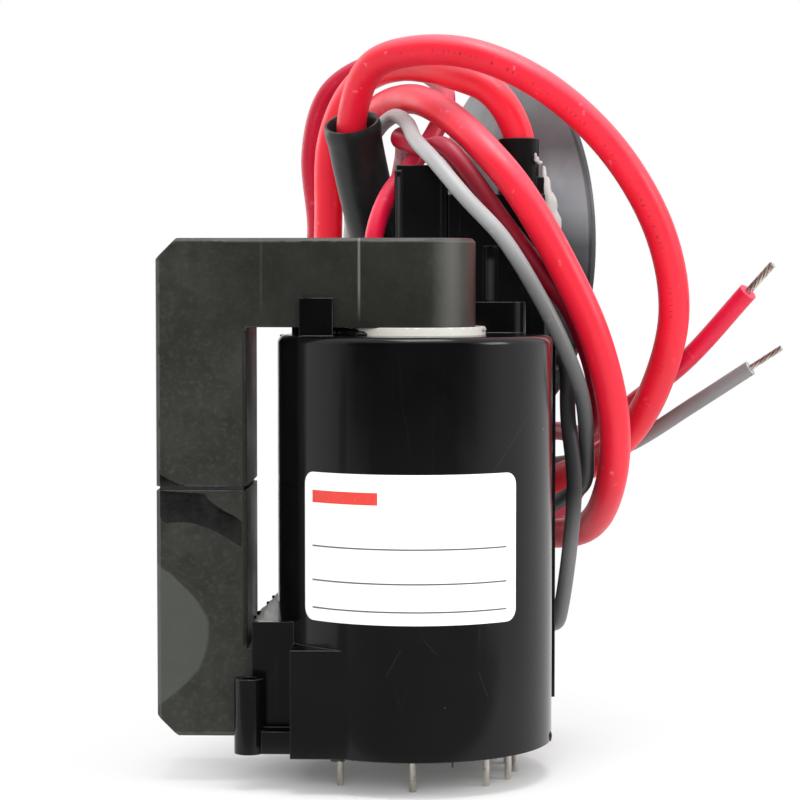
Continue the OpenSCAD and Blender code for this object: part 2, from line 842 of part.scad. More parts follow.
module label() {
    color("#f2f2ef")
    translate([0, 0, label_z])
        rotate([0, 0, -91.5 - label_angle / 2])
            rotate_extrude(angle = label_angle)
                translate([case_r + rest_gap / 5, 0])
                    square([label_t, label_h]);
}

case();
core_lower();
core_upper();
gap_spacers();
winding_bobbin();
primary_winding();
auxiliary_winding();
hv_bobbin();
hv_windings();
hv_diodes();
potting_resin();
terminal_pins();
focus_case();
resistor_plate();
focus_knob();
focus_wiper();
screen_knob();
screen_wiper();
anode_lead();
focus_lead();
screen_lead();
lead_tips();
anode_cap();
anode_clip();
label();
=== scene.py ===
"""Flyback transformer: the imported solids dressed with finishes, leads, cap, label and glue."""
from math import cos, pi, radians, sin, sqrt, tau

import bmesh
import bpy
from mathutils import Matrix, Vector, noise


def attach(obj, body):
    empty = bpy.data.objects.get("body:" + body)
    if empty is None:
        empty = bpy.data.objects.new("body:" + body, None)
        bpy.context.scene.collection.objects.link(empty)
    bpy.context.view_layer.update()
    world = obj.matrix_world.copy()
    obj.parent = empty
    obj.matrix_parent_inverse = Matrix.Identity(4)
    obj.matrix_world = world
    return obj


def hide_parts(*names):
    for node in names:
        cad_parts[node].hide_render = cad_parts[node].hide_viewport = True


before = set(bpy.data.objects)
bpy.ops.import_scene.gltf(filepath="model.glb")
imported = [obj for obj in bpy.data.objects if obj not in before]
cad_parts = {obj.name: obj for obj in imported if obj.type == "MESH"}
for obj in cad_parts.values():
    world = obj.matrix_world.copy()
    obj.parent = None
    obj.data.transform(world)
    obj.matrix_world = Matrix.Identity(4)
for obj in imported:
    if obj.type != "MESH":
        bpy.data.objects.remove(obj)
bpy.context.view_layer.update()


# Drum case: a deep pot moulded in glossy black filled plastic, closed at the top and open
# underneath, in one piece with its rear flange, yoke guides, corner block and screw post.
# The windings stand in it and are cast in with resin, and handling leaves fine scratches.
mm = 0.001
studio = bpy.context.scene


def add(tree, kind, sockets=None, **settings):
    """Adds a node: settings go on the node, sockets take a value or another node's output."""
    node = tree.nodes.new(kind)
    for name, value in settings.items():
        setattr(node, name, value)
    for name, value in (sockets or {}).items():
        if isinstance(value, bpy.types.NodeSocket):
            tree.links.new(value, node.inputs[name])
        else:
            node.inputs[name].default_value = value
    return node


def new_finish(name, plain):
    """Starts a finish and sets what is the same all over it on the shader itself."""
    finish = bpy.data.materials.new(name)
    finish.use_nodes = True
    shader = finish.node_tree.nodes["Principled BSDF"]
    for socket, value in plain.items():
        shader.inputs[socket].default_value = value
    return finish, finish.node_tree


def place(tree, stretch=(1, 1, 1), turn=(0, 0, 0), shift=(0, 0, 0)):
    """The piece's own coordinates in metres, stretched or turned for a pattern."""
    where = add(tree, "ShaderNodeTexCoord").outputs["Object"]
    sockets = {"Vector": where, "Scale": stretch, "Rotation": turn, "Location": shift}
    return add(tree, "ShaderNodeMapping", sockets).outputs["Vector"]


def grain(tree, scale, detail=3.0, **mapping):
    """Cloudy pattern whose spots are about one over scale metres wide."""
    sockets = {"Vector": place(tree, **mapping), "Scale": scale, "Detail": detail}
    return add(tree, "ShaderNodeTexNoise", sockets).outputs["Fac"]


def ranged(tree, value, low, high, to_low=0.0, to_high=1.0):
    """Maps a value from one range to another and holds it at the ends."""
    sockets = {0: value, 1: low, 2: high, 3: to_low, 4: to_high}
    return add(tree, "ShaderNodeMapRange", sockets).outputs[0]


def sums(tree, operation, a, b=0.0):
    """One sum on a value or on two."""
    return add(tree, "ShaderNodeMath", {0: a, 1: b}, operation=operation).outputs[0]


def times(tree, first, *others):
    """The product of several values."""
    for other in others:
        first = sums(tree, "MULTIPLY", first, other)
    return first


def apart(tree, value, middle):
    """How far a value lies from a middle, to either side."""
    return sums(tree, "ABSOLUTE", sums(tree, "SUBTRACT", value, middle))


def tinted(tree, amount, colour, other, how="MIX"):
    """Mixes two colours, each a plain one or a node's output."""
    sockets = {}
    for key, value in ((0, amount), (6, colour), (7, other)):
        plain = not isinstance(value, bpy.types.NodeSocket) and key > 0
        sockets[key] = (*value, 1.0) if plain else value
    mix = add(tree, "ShaderNodeMix", sockets, data_type="RGBA", blend_type=how)
    return mix.outputs[2]


def clouded(tree, scale, detail, low, high, one, two):
    """Two colours that change over in a cloudy pattern, between two of its levels."""
    return tinted(tree, ranged(tree, grain(tree, scale, detail), low, high), one, two)


def layered(tree, colour, *layers):
    """Lays further colours over one, each given as how much of it shows and what it is."""
    for amount, over in layers:
        colour = tinted(tree, amount, colour, over)
    return colour


def specks(tree, scale, share, size, strength=1.0):
    """Sparse round dots: one in each cell of a random net, where the cell's own number allows."""
    net = add(tree, "ShaderNodeTexVoronoi", {"Vector": place(tree), "Scale": scale})
    number = add(tree, "ShaderNodeSeparateColor", {0: net.outputs["Color"]}).outputs[0]
    chosen = sums(tree, "GREATER_THAN", number, 1.0 - share)
    return times(tree, chosen, ranged(tree, net.outputs["Distance"], size, size / 2, 0, strength))


def rounded_edges(tree):
    """One on the edges that were rounded, nought on the faces."""
    return add(tree, "ShaderNodeAttribute", attribute_name="rubbed").outputs["Fac"]


def worn(tree, scale, cover):
    """Where the rounded edges have been rubbed, broken up by a pattern."""
    patch = ranged(tree, grain(tree, scale, 4), 0.62 - cover, 0.72 - cover)
    return times(tree, rounded_edges(tree), patch)


def surfaced(finish, colour, gloss, height=None, strength=0.0, depth=0.0):
    """Gives a finish the patterns of its colour, its gloss and, where given, a shallow relief."""
    tree = finish.node_tree
    shader = tree.nodes["Principled BSDF"]
    tree.links.new(colour, shader.inputs["Base Color"])
    tree.links.new(gloss, shader.inputs["Roughness"])
    if height is not None:
        sockets = {"Height": height, "Strength": strength, "Distance": depth}
        tree.links.new(add(tree, "ShaderNodeBump", sockets).outputs[0], shader.inputs["Normal"])


def split(tree, vector):
    """The three parts of a vector."""
    return add(tree, "ShaderNodeSeparateXYZ", {0: vector}).outputs


def facing(tree):
    """The way that a face looks."""
    return add(tree, "ShaderNodeNewGeometry").outputs["Normal"]


def vector_sums(tree, operation, a, b):
    """One sum on two vectors: a vector, or a value where it is a dot product or a distance."""
    found = add(tree, "ShaderNodeVectorMath", {0: a, 1: b}, operation=operation).outputs
    return found["Value" if operation in ("DOT_PRODUCT", "DISTANCE") else 0]


def scaled(tree, vector, amount):
    """A vector made longer or shorter."""
    sockets = {0: vector, "Scale": amount}
    return add(tree, "ShaderNodeVectorMath", sockets, operation="SCALE").outputs[0]


def nick(tree, start, end, width, back):
    """One scratch, or one painted highlight stripe, on the front, between two points given across and up
    in millimetres.

    What lies further back than the given depth keeps clear of it.
    """
    run = Vector((end[0] - start[0], 0, end[1] - start[1])) * mm
    flat = vector_sums(tree, "MULTIPLY", place(tree), (1, 0, 1))
    away = vector_sums(tree, "SUBTRACT", flat, (start[0] * mm, 0, start[1] * mm))
    along = vector_sums(tree, "DOT_PRODUCT", away, run / run.length_squared)
    foot = scaled(tree, run, ranged(tree, along, 0, 1))
    line = ranged(tree, vector_sums(tree, "DISTANCE", away, foot), 0, width * mm, 1, 0)
    return times(tree, line, sums(tree, "LESS_THAN", split(tree, place(tree))[1], back * mm))


def black_moulding(name, tone, polish, gloss_level, nicks_and_highlights, back, mark):
    """Black plastic: deep tone, dust, hairline scratches, given lines for nicks and painted highlights,
    and rubbed edges paler where they face up, which is partly wear and partly a painted highlight.

    The hairlines are the level lines of a pattern that is drawn out in one direction.
    """
    finish, tree = new_finish(name, {"Specular IOR Level": gloss_level})
    drawn = grain(tree, 420, 1.5, stretch=(1, 1, 0.04), turn=(0.9, 0.7, 0.2))
    scratches_and_highlights = ranged(tree, apart(tree, drawn, 0.62), 0.0, 0.006, 0.2, 0.0)
    for start, end, width in nicks_and_highlights:
        scratches_and_highlights = sums(tree, "MAXIMUM", scratches_and_highlights, nick(tree, start, end, width, back))
    deep, pale = [0.75 * c for c in tone], [1.3 * c for c in tone]
    # Rubbed edges that face up are paler still: a painted highlight over the wear.
    lit_edge = ranged(tree, split(tree, facing(tree))[2], 0.2, 0.7, 0.15, 1.0)
    colour = layered(
        tree, clouded(tree, 75, 4, 0.35, 0.7, deep, pale),
        (times(tree, worn(tree, 500, 0.3), lit_edge), (0.05, 0.05, 0.052)),
        (times(tree, scratches_and_highlights, mark), (0.06, 0.06, 0.062)),
        (specks(tree, 210, 0.12, 0.035, 0.5), (0.3, 0.29, 0.27)))
    smear = grain(tree, 150, 4, turn=(0.3, 0.5, 0.1))
    gloss = ranged(tree, smear, 0.3, 0.75, polish, polish + 0.08)
    gloss = sums(tree, "ADD", gloss, times(tree, scratches_and_highlights, 0.15))
    skin = sums(tree, "SUBTRACT", times(tree, grain(tree, 1500, 2), 0.4), scratches_and_highlights)
    surfaced(finish, colour, gloss, skin, 0.1, 0.02 * mm)
    return finish


def shown(name, data):
    """Puts a mesh, a lamp or the camera into the scene under its name."""
    thing = bpy.data.objects.new(name, data)
    studio.collection.objects.link(thing)
    return thing


def new_piece(name, shape, finish):
    """Makes a shape a named piece with one finish."""
    mesh = bpy.data.meshes.new(name)
    shape.to_mesh(mesh)
    shape.free()
    mesh.materials.append(finish)
    return shown(name, mesh)


def plain_mesh(piece):
    """The plain mesh that a piece's modifiers make."""
    graph = bpy.context.evaluated_depsgraph_get()
    return bpy.data.meshes.new_from_object(piece.evaluated_get(graph))


def make_solid(piece):
    """Keeps what the piece's modifiers make as its own mesh."""
    made = plain_mesh(piece)
    piece.modifiers.clear()
    piece.data = made


def smoothed(piece, angle):
    """Shades a piece smooth, with a crease where faces meet at more than the angle."""
    piece.data.shade_smooth()
    piece.data.set_sharp_from_angle(angle=radians(angle))


def stands_for(piece, node, body="transformer"):
    """Lets a piece ride on its body in place of a solid."""
    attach(piece, body)
    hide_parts(node)


def softened(node, finish, edge, body="transformer"):
    """Copies a solid and rounds its sharp edges, as a mould or a tumbling drum leaves them."""
    shape = bmesh.new()
    shape.from_mesh(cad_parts[node].data)
    bmesh.ops.remove_doubles(shape, verts=shape.verts, dist=1e-6)
    bmesh.ops.dissolve_limit(shape, angle_limit=radians(0.6), verts=shape.verts, edges=shape.edges)
    piece = new_piece(node + "_dressed", shape, finish)
    piece.data.materials.append(finish)
    for polygon in piece.data.polygons:
        polygon.material_index = 0
    rounding = piece.modifiers.new("rounding", "BEVEL")
    rounding.width, rounding.segments, rounding.material = edge, 2, 1
    rounding.limit_method, rounding.angle_limit = "ANGLE", radians(42)
    rounding.use_clamp_overlap = False
    piece.data.shade_smooth()
    piece.modifiers.new("flat_faces", "WEIGHTED_NORMAL").keep_sharp = True
    make_solid(piece)
    mesh = piece.data
    rubbed = mesh.attributes.new("rubbed", "FLOAT", "FACE")
    rubbed.data.foreach_set("value", [float(p.material_index == 1) for p in mesh.polygons])
    for polygon in mesh.polygons:
        polygon.material_index = 0
    mesh.materials.pop(index=1)
    stands_for(piece, node, body)
    return piece


front_nicks = (((-1.5, 15.8), (-3.5, 12.2), 0.07), ((16.0, 47.4), (11.0, 39.8), 0.05),
               ((1.5, 17.4), (3.4, 15.2), 0.05), ((9.2, 12.6), (10.6, 8.8), 0.05))
gloss_black = black_moulding("gloss_black_moulding", (0.0032, 0.0032, 0.0036), 0.13, 0.29,
                             front_nicks, -8, 0.3)
softened("case", gloss_black, 0.1 * mm)


# Potting resin: dark epoxy that is poured in round the windings and the pins from below.
# It sets with a low meniscus and a slightly wavy, glossy face.
def uneven(tree, scale, detail, low, high):
    """A cloudy pattern that runs between two values."""
    return ranged(tree, grain(tree, scale, detail), 0.3, 0.7, low, high)


def mottled(name, plain, tones, cloud, gloss, bump=None, **lay):
    """A finish in two tones with an uneven gloss and, where bump is given, a shallow relief.

    cloud, gloss and bump each open with the scale and detail of a pattern. Then come the part of
    it that counts, the two roughnesses, and the strength and depth. lay draws out the relief.
    """
    finish, tree = new_finish(name, plain)
    tone = clouded(tree, *cloud, *tones)
    ripple = (grain(tree, *bump[:2], **lay), *bump[2:]) if bump else ()
    surfaced(finish, tone, uneven(tree, *gloss), *ripple)
    return finish


def coated(finish, *nodes):
    """Gives solids that stay as they are a finish of their own."""
    for node in nodes:
        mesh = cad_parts[node].data
        mesh.materials.clear()
        mesh.materials.append(finish)


resin = mottled("dark_potting_resin", {"Specular IOR Level": 0.5},
                ((0.032, 0.026, 0.02), (0.07, 0.055, 0.042)),
                (240, 4, 0.3, 0.7), (500, 2, 0.18, 0.4), (160, 2, 0.5, 0.25 * mm))
coated(resin, "potting_resin")


# Winding bobbin: a white moulding with the pin base, the yoke channel and the winding tube.
# Its top collar shows as a white ring between the case and the upper yoke.
white_moulding, tree = new_finish("white_bobbin_moulding", {"Specular IOR Level": 0.4})
tone = layered(tree, clouded(tree, 180, 4, 0.35, 0.7, (0.80, 0.785, 0.73), (0.70, 0.685, 0.62)),
               (specks(tree, 420, 0.2, 0.05), (0.35, 0.3, 0.24)),
               (worn(tree, 900, 0.25), (0.6, 0.58, 0.52)))
surfaced(white_moulding, tone, uneven(tree, 600, 2, 0.38, 0.55), grain(tree, 1400, 2), 0.2, 0.03 * mm)
softened("winding_bobbin", white_moulding, 0.18 * mm)
coated(white_moulding, "hv_bobbin")


# Windings and rectifiers: enamelled copper wire in close turns on the two bobbins, and
# moulded diodes between the slots. All of them are hidden in the case.
turns, tree = new_finish("enamelled_copper_turns", {"Metallic": 0.85})
wave = {"Vector": place(tree), "Scale": 620.0, "Distortion": 0.4}
layers = add(tree, "ShaderNodeTexWave", wave, bands_direction="Z").outputs["Fac"]
tone = layered(tree, tinted(tree, layers, (0.30, 0.10, 0.035), (0.66, 0.28, 0.11)),
               (ranged(tree, grain(tree, 300, 3), 0.4, 0.8), (0.45, 0.16, 0.05)))
surfaced(turns, tone, ranged(tree, layers, 0, 1, 0.45, 0.25), layers, 0.7, 0.15 * mm)
coated(turns, "primary_winding", "auxiliary_winding", "hv_windings")

diode_black = mottled("moulded_diode_black", {"Specular IOR Level": 0.35},
                      ((0.02, 0.02, 0.02), (0.045, 0.044, 0.042)), (900, 3, 0, 1), (1500, 2, 0.45, 0.65))
coated(diode_black, "hv_diodes")


# Terminal pins: short lengths of tinned wire pressed into the bobbin's base, cut off square
# below. The tin is dull grey with brown flux left near the root.
tinned, tree = new_finish("dull_tinned_wire", {"Metallic": 1.0})
drawn = grain(tree, 900, 3, stretch=(1, 1, 0.25))
tone = tinted(tree, ranged(tree, drawn, 0.35, 0.7), (0.74, 0.71, 0.65), (0.44, 0.41, 0.36))
stain = ranged(tree, grain(tree, 1300, 4, shift=(3, 1, 2)), 0.58, 0.74, 0, 0.8)
tone = tinted(tree, stain, tone, (0.24, 0.19, 0.13))
surfaced(tinned, tone, ranged(tree, drawn, 0.3, 0.7, 0.24, 0.48), drawn, 0.3, 0.04 * mm)
softened("terminal_pins", tinned, 0.12 * mm)


# Ferrite core: two U halves pressed from powder and sintered, dark grey with a green cast,
# a little mottled, paler on the rubbed bevels. The faces keep faint press marks.
ferrite, tree = new_finish("sintered_ferrite", {"Specular IOR Level": 0.42})
blotch = grain(tree, 95, 5)
fine = grain(tree, 800, 3)
streak = grain(tree, 160, 3, stretch=(1, 1, 0.18))
smudge = grain(tree, 330, 6, shift=(1, 2, 3))
powder = grain(tree, 1500, 4, shift=(4, 1, 2))
across, deep, up = split(tree, place(tree))
front = sums(tree, "LESS_THAN", deep, -8.0 * mm)
leg_side, stain_z, stain_high, stain_wide = -36.9 * mm, 16.2 * mm, 10.4 * mm, 7.6 * mm
bulge = sums(tree, "DIVIDE", sums(tree, "SUBTRACT", up, stain_z), stain_high)
reach = sums(tree, "DIVIDE", sums(tree, "SUBTRACT", across, leg_side), stain_wide)
stain = sums(tree, "ADD", sums(tree, "POWER", bulge, 2.0), reach)
stain = sums(tree, "ADD", stain, times(tree, grain(tree, 140, 3), 0.25))
varnish = times(tree, ranged(tree, stain, 1.10, 1.16, 1.0, 0.0), front)
# Painted light on the top of the upper yoke: painted shade across most of it, a painted highlight strip
# near its round end and a painted brownish shade beyond that.
yoke = ranged(tree, up, 56 * mm, 60.5 * mm)
dark = times(tree, yoke, ranged(tree, across, -36 * mm, -20 * mm, 0.1, 0.62),
             ranged(tree, across, 1.5 * mm, 4.0 * mm, 1.0, 0.0),
             ranged(tree, grain(tree, 60, 4), 0.25, 0.6, 0.7, 1.0))
pale = times(tree, yoke, ranged(tree, across, 2.6 * mm, 5.0 * mm),
             ranged(tree, across, 5.6 * mm, 7.2 * mm, 1.0, 0.0))
brown_shade = times(tree, yoke, ranged(tree, across, 6.4 * mm, 7.8 * mm))
tone = tinted(tree, ranged(tree, blotch, 0.32, 0.7),
              (0.0222, 0.0230, 0.0180), (0.0355, 0.0367, 0.0295))
tone = layered(
    tree, tone,
    (ranged(tree, streak, 0.5, 0.75, 0, 0.45), (0.021, 0.022, 0.0165)),
    (ranged(tree, fine, 0.55, 0.75, 0, 0.35), (0.055, 0.057, 0.047)),
    (ranged(tree, smudge, 0.48, 0.72, 0, 0.55), (0.014, 0.0145, 0.011)),
    (ranged(tree, powder, 0.52, 0.72, 0, 0.4), (0.058, 0.059, 0.049)),
    (specks(tree, 150, 0.1, 0.035, 0.7), (0.22, 0.22, 0.2)),
    (times(tree, varnish, 0.75), (0.070, 0.076, 0.066)),
    # The last three layers are the painted shade, the painted highlight and the painted brownish shade.
    (dark, (0.0085, 0.0088, 0.0068)),
    (times(tree, pale, 0.75), (0.09, 0.086, 0.077)),
    (times(tree, brown_shade, 0.85), (0.022, 0.013, 0.009)))
high = times(tree, ranged(tree, up, 60.8 * mm, 65.5 * mm), front)
for line_x, strength in ((-7.75 * mm, 0.9), (-21.7 * mm, 0.1)):
    press_line = ranged(tree, apart(tree, across, line_x), 0.08 * mm, 0.24 * mm, strength, 0)
    tone = tinted(tree, times(tree, press_line, high), tone, (0.14, 0.14, 0.125))
# Painted shade: the rounded edges inside the core's window are darkened.
window_shade = times(tree, sums(tree, "GREATER_THAN", across, -24.5 * mm),
               sums(tree, "LESS_THAN", up, 59.8 * mm))
tone = layered(tree, tone, (times(tree, worn(tree, 420, 0.24), 0.4), (0.098, 0.1, 0.088)),
               (times(tree, window_shade, rounded_edges(tree)), (0.021, 0.021, 0.018)))
surfaced(ferrite, tone, ranged(tree, blotch, 0.3, 0.7, 0.33, 0.5),
         sums(tree, "ADD", fine, grain(tree, 2600, 2)), 0.25, 0.05 * mm)
for half in ("core_lower", "core_upper"):
    softened(half, ferrite, 0.15 * mm)

film = mottled("dark_gap_film", {"Specular IOR Level": 0.3},
               ((0.02, 0.02, 0.023), (0.045, 0.045, 0.048)), (600, 3, 0, 1), (900, 2, 0.4, 0.6))
coated(film, "gap_spacers")


# Core glue: black adhesive brushed across the joint of the outer leg. It lies as a thin
# glossy film over the lower half, with a small wedge of it on the upper one.
glue_black = mottled("black_core_glue", {"Specular IOR Level": 0.5},
                     ((0.003, 0.003, 0.003), (0.012, 0.012, 0.011)),
                     (420, 4, 0.3, 0.7), (650, 4, 0.12, 0.4), (500, 4, 0.5, 0.15 * mm),
                     stretch=(0.4, 1, 1), turn=(0, 0.5, 0))


def smooth_line(points, steps):
    """Points in even steps on the smooth curve through a row of points."""
    points = [Vector(p) for p in points]
    ends = [2 * points[0] - points[1], *points, 2 * points[-1] - points[-2]]
    line = []
    for step in range(steps + 1):
        at = step / steps * (len(points) - 1)
        i = min(int(at), len(points) - 2)
        t = at - i
        a, b, c, d = ends[i:i + 4]
        bend = (2 * a - 5 * b + 4 * c - d) * t * t + (3 * b - a - 3 * c + d) * t ** 3
        line.append(0.5 * (2 * b + (c - a) * t + bend))
    return line


def closed_sheet(shape, under, over):
    """Makes a closed thin sheet of two like grids of points, one in front of the other."""
    wide, tall = len(under) - 1, len(under[0]) - 1
    for grid in (under, over):
        for one, two in zip(grid, grid[1:]):
            for k in range(tall):
                shape.faces.new((one[k], two[k], two[k + 1], one[k + 1]))
    rim = [(0, k) for k in range(tall)] + [(i, tall) for i in range(wide)]
    rim += [(wide, k) for k in range(tall, 0, -1)] + [(i, 0) for i in range(wide, 0, -1)]
    for (i, k), (j, n) in zip(rim, rim[1:] + rim[:1]):
        shape.faces.new((under[i][k], under[j][n], over[j][n], over[i][k]))
    bmesh.ops.recalc_face_normals(shape, faces=shape.faces)


def rides(piece):
    """Lets a piece that stands for no solid ride on the transformer."""
    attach(piece, "transformer")


def glue_film(shape, upper, lower, thick, wide=48, tall=12):
    """A thin closed film on the leg's front between two edges given across and up."""
    leg_front, tucked_in = -8.8, -8.77
    over, under = [], []
    for top, low in zip(smooth_line(upper, wide), smooth_line(lower, wide)):
        over.append([])
        under.append([])
        for k in range(tall + 1):
            spot = low.lerp(top, k / tall)
            swell = thick * (0.25 + sin(pi * k / tall) ** 0.5)
            for column, y in ((over[-1], leg_front - swell), (under[-1], tucked_in)):
                column.append(shape.verts.new(Vector((spot.x, y, spot.y)) * mm))
    closed_sheet(shape, under, over)


shape = bmesh.new()
glue_film(shape, [(-36.2, 36.9), (-34.1, 36.7), (-32.0, 36.55), (-30.0, 36.4), (-29.3, 35.6),
                  (-28.0, 34.6), (-26.7, 33.8), (-25.4, 33.1), (-24.5, 32.4)],
          [(-36.2, 33.0), (-35.6, 32.3), (-34.1, 32.3), (-32.5, 32.35), (-31.2, 32.1),
           (-29.6, 31.6), (-28.0, 30.9), (-26.7, 30.1), (-24.6, 28.8)], 0.07)
glue_film(shape, [(-36.2, 39.2), (-35.1, 38.55), (-33.8, 37.98), (-32.5, 37.58)],
          [(-36.2, 37.5), (-35.1, 37.5), (-33.8, 37.5), (-32.5, 37.5)], 0.05)
core_glue = new_piece("core_glue_film", shape, glue_black)
smoothed(core_glue, 60)
rides(core_glue)


# Focus and screen unit: a satin black housing snapped to the rear flange, with a square
# tower, a round tower for the anode lead and two adjusters on its rear face.
# Painted highlights: a pale stripe down the unit's front rib and a fainter one down the square tower's
# left edge.
rib_highlights = (((11.1, 62.5), (11.1, 69.5), 0.9), ((-3.0, 70.5), (-3.0, 82.5), 0.35))
satin_black = black_moulding("satin_black_moulding", (0.006, 0.006, 0.0065), 0.26, 0.12,
                             rib_highlights, 21, 0.9)
softened("focus_case", satin_black, 0.2 * mm)

alumina = mottled("bare_alumina", {"Specular IOR Level": 0.3},
                  ((0.78, 0.75, 0.68), (0.70, 0.66, 0.58)), (500, 4, 0, 1), (800, 2, 0.6, 0.75))
coated(alumina, "resistor_plate")


# Adjusters: fluted ivory knobs with a screwdriver slot, each on a shaft that carries a
# stamped spring wiper inside the unit. They turn in collars on the rear face.
ivory, tree = new_finish("ivory_knob_moulding", {"Specular IOR Level": 0.45})
tone = layered(tree, clouded(tree, 260, 4, 0.3, 0.7, (0.74, 0.70, 0.60), (0.62, 0.57, 0.46)),
               (worn(tree, 900, 0.3), (0.50, 0.45, 0.35)))
surfaced(ivory, tone, uneven(tree, 900, 2, 0.34, 0.5), grain(tree, 1700, 2), 0.15, 0.03 * mm)
for use in ("focus", "screen"):
    softened(use + "_knob", ivory, 0.15 * mm, body=use + "_adjuster")


# Dial ticks: short bars moulded on the unit's rear face round each adjuster, to set it by.
# They are the same black plastic as the unit.
def new_rule(name, **sizes):
    """Starts a rule for a shape, with a named input for each of its sizes, and hands these out."""
    rule = bpy.data.node_groups.new(name, "GeometryNodeTree")
    for title, kind in sizes.items():
        rule.interface.new_socket(title, in_out="INPUT", socket_type="NodeSocket" + kind)
    rule.interface.new_socket("Geometry", in_out="OUTPUT", socket_type="NodeSocketGeometry")
    return rule, add(rule, "NodeGroupInput").outputs


def close_rule(rule, made, finish):
    """Ends a rule: what it makes becomes real faces with one finish."""
    real = add(rule, "GeometryNodeRealizeInstances", {0: made}).outputs[0]
    coat = add(rule, "GeometryNodeSetMaterial", {"Geometry": real, "Material": finish})
    add(rule, "NodeGroupOutput", {0: coat.outputs[0]})


def made_by(rule, sizes):
    """Runs a rule with its sizes and returns the plain mesh that it makes."""
    carrier = shown(rule.name, bpy.data.meshes.new(rule.name))
    maker = carrier.modifiers.new(rule.name, "NODES")
    maker.node_group = rule
    for socket in rule.interface.items_tree:
        if socket.in_out == "INPUT":
            maker[socket.identifier] = sizes[socket.name]
    mesh = plain_mesh(carrier)
    bpy.data.objects.remove(carrier)
    return mesh


dial, given = new_rule("dial_ticks", Count="Int", Radius="Float", First="Float", Step="Float",
                       Bar="Vector")
number = add(dial, "GeometryNodeInputIndex").outputs[0]
turn = sums(dial, "ADD", times(dial, number, given["Step"]), given["First"])
ring = [times(dial, sums(dial, part, turn), given["Radius"]) for part in ("SINE", "COSINE")]
ring = add(dial, "ShaderNodeCombineXYZ", {0: ring[0], 2: ring[1]}).outputs[0]
spots = {"Count": given["Count"], "Position": ring}
bars = {"Points": add(dial, "GeometryNodePoints", spots).outputs[0],
        "Instance": add(dial, "GeometryNodeMeshCube", {"Size": given["Bar"]}).outputs[0],
        "Rotation": add(dial, "ShaderNodeCombineXYZ", {1: turn}).outputs[0]}
close_rule(dial, add(dial, "GeometryNodeInstanceOnPoints", bars).outputs[0], satin_black)
knob_x, rear_y, knob_heights = -8, 34.65, (43.25, 19.25)
sizes = {"Count": 9, "Radius": 7.4 * mm, "First": radians(-120), "Step": radians(30),
         "Bar": (0.45 * mm, 0.5 * mm, 1.5 * mm)}
shape = bmesh.new()
for knob_z in knob_heights:
    ticks = made_by(dial, sizes)
    ticks.transform(Matrix.Translation(Vector((knob_x, rear_y, knob_z)) * mm))
    shape.from_mesh(ticks)
dial_ticks = new_piece("dial_ticks", shape, satin_black)
broken = dial_ticks.modifiers.new("broken_edges", "BEVEL")
broken.width, broken.segments = 0.08 * mm, 2
make_solid(dial_ticks)
rides(dial_ticks)


# Wipers: stamped spring brass on the inner ends of the adjusters, hidden in the unit. They
# turn with the knobs over the resistor plate.
spring_brass = mottled("stamped_spring_brass", {"Metallic": 1.0},
                       ((0.72, 0.50, 0.20), (0.55, 0.36, 0.14)), (700, 3, 0, 1), (900, 2, 0.25, 0.42))
coated(spring_brass, "focus_wiper", "screen_wiper")


# Anode lead: a thick bright red sheath over a thin core, about half a metre long. It leaves
# the round tower, makes two loops behind the drum and ends in the cap's neck.
def laid_out(route, steps=12):
    """Close points along a route given in millimetres, so many to each of its spans."""
    return [point * mm for point in smooth_line(route, steps * (len(route) - 1))]


def sheath(name, line, walls, sides, finish):
    """A closed tube along a line, from (point number, radius) pairs that may turn back into it.

    Its UV map holds the metres along the line and the turn round it.
    """
    shape = bmesh.new()
    along = shape.loops.layers.uv.new("along")
    last = len(line) - 1
    runs = [(line[min(i + 1, last)] - line[max(i - 1, 0)]).normalized() for i in range(last + 1)]
    across, gone, frames = runs[0].orthogonal(), 0.0, []
    for i, (centre, run) in enumerate(zip(line, runs)):
        across = (across - across.dot(run) * run).normalized()
        gone += (centre - line[i - 1]).length if i else 0.0
        frames.append((centre, across, run.cross(across), gone))
    rings = []
    for i, r in walls:
        centre, across, side, gone = frames[i]
        turns = [tau * k / sides for k in range(sides)]
        ring = [shape.verts.new(centre + r * (cos(a) * across + sin(a) * side)) for a in turns]
        rings.append((ring, gone))
    for (one, near), (two, far) in zip(rings, rings[1:]):
        for k in range(sides):
            n = (k + 1) % sides
            face = shape.faces.new((one[k], one[n], two[n], two[k]))
            corners = ((near, k), (near, k + 1), (far, k + 1), (far, k))
            for loop, (gone, turned) in zip(face.loops, corners):
                loop[along].uv = (gone, turned / sides)
    shape.faces.new(rings[0][0][::-1])
    shape.faces.new(rings[-1][0])
    piece = new_piece(name, shape, finish)
    smoothed(piece, 40)
    return piece


def lead(node, line, diameter, sides, finish):
    """A lead of one thickness with its cut ends just broken, in place of its solid."""
    last, r = len(line) - 1, diameter / 2
    cut = 0.93 * r
    walls = [(0, cut), *((i, r) for i in range(last + 1)), (last, cut)]
    piece = sheath(node + "_sheath", line, walls, sides, finish)
    stands_for(piece, node)
    return piece


def shaded(tree, colour, shade):
    """Darkens or lightens a colour by a pattern, as painted light and shade."""
    grey = add(tree, "ShaderNodeCombineColor", {0: shade, 1: shade, 2: shade}).outputs[0]
    return tinted(tree, 1.0, colour, grey, "MULTIPLY")


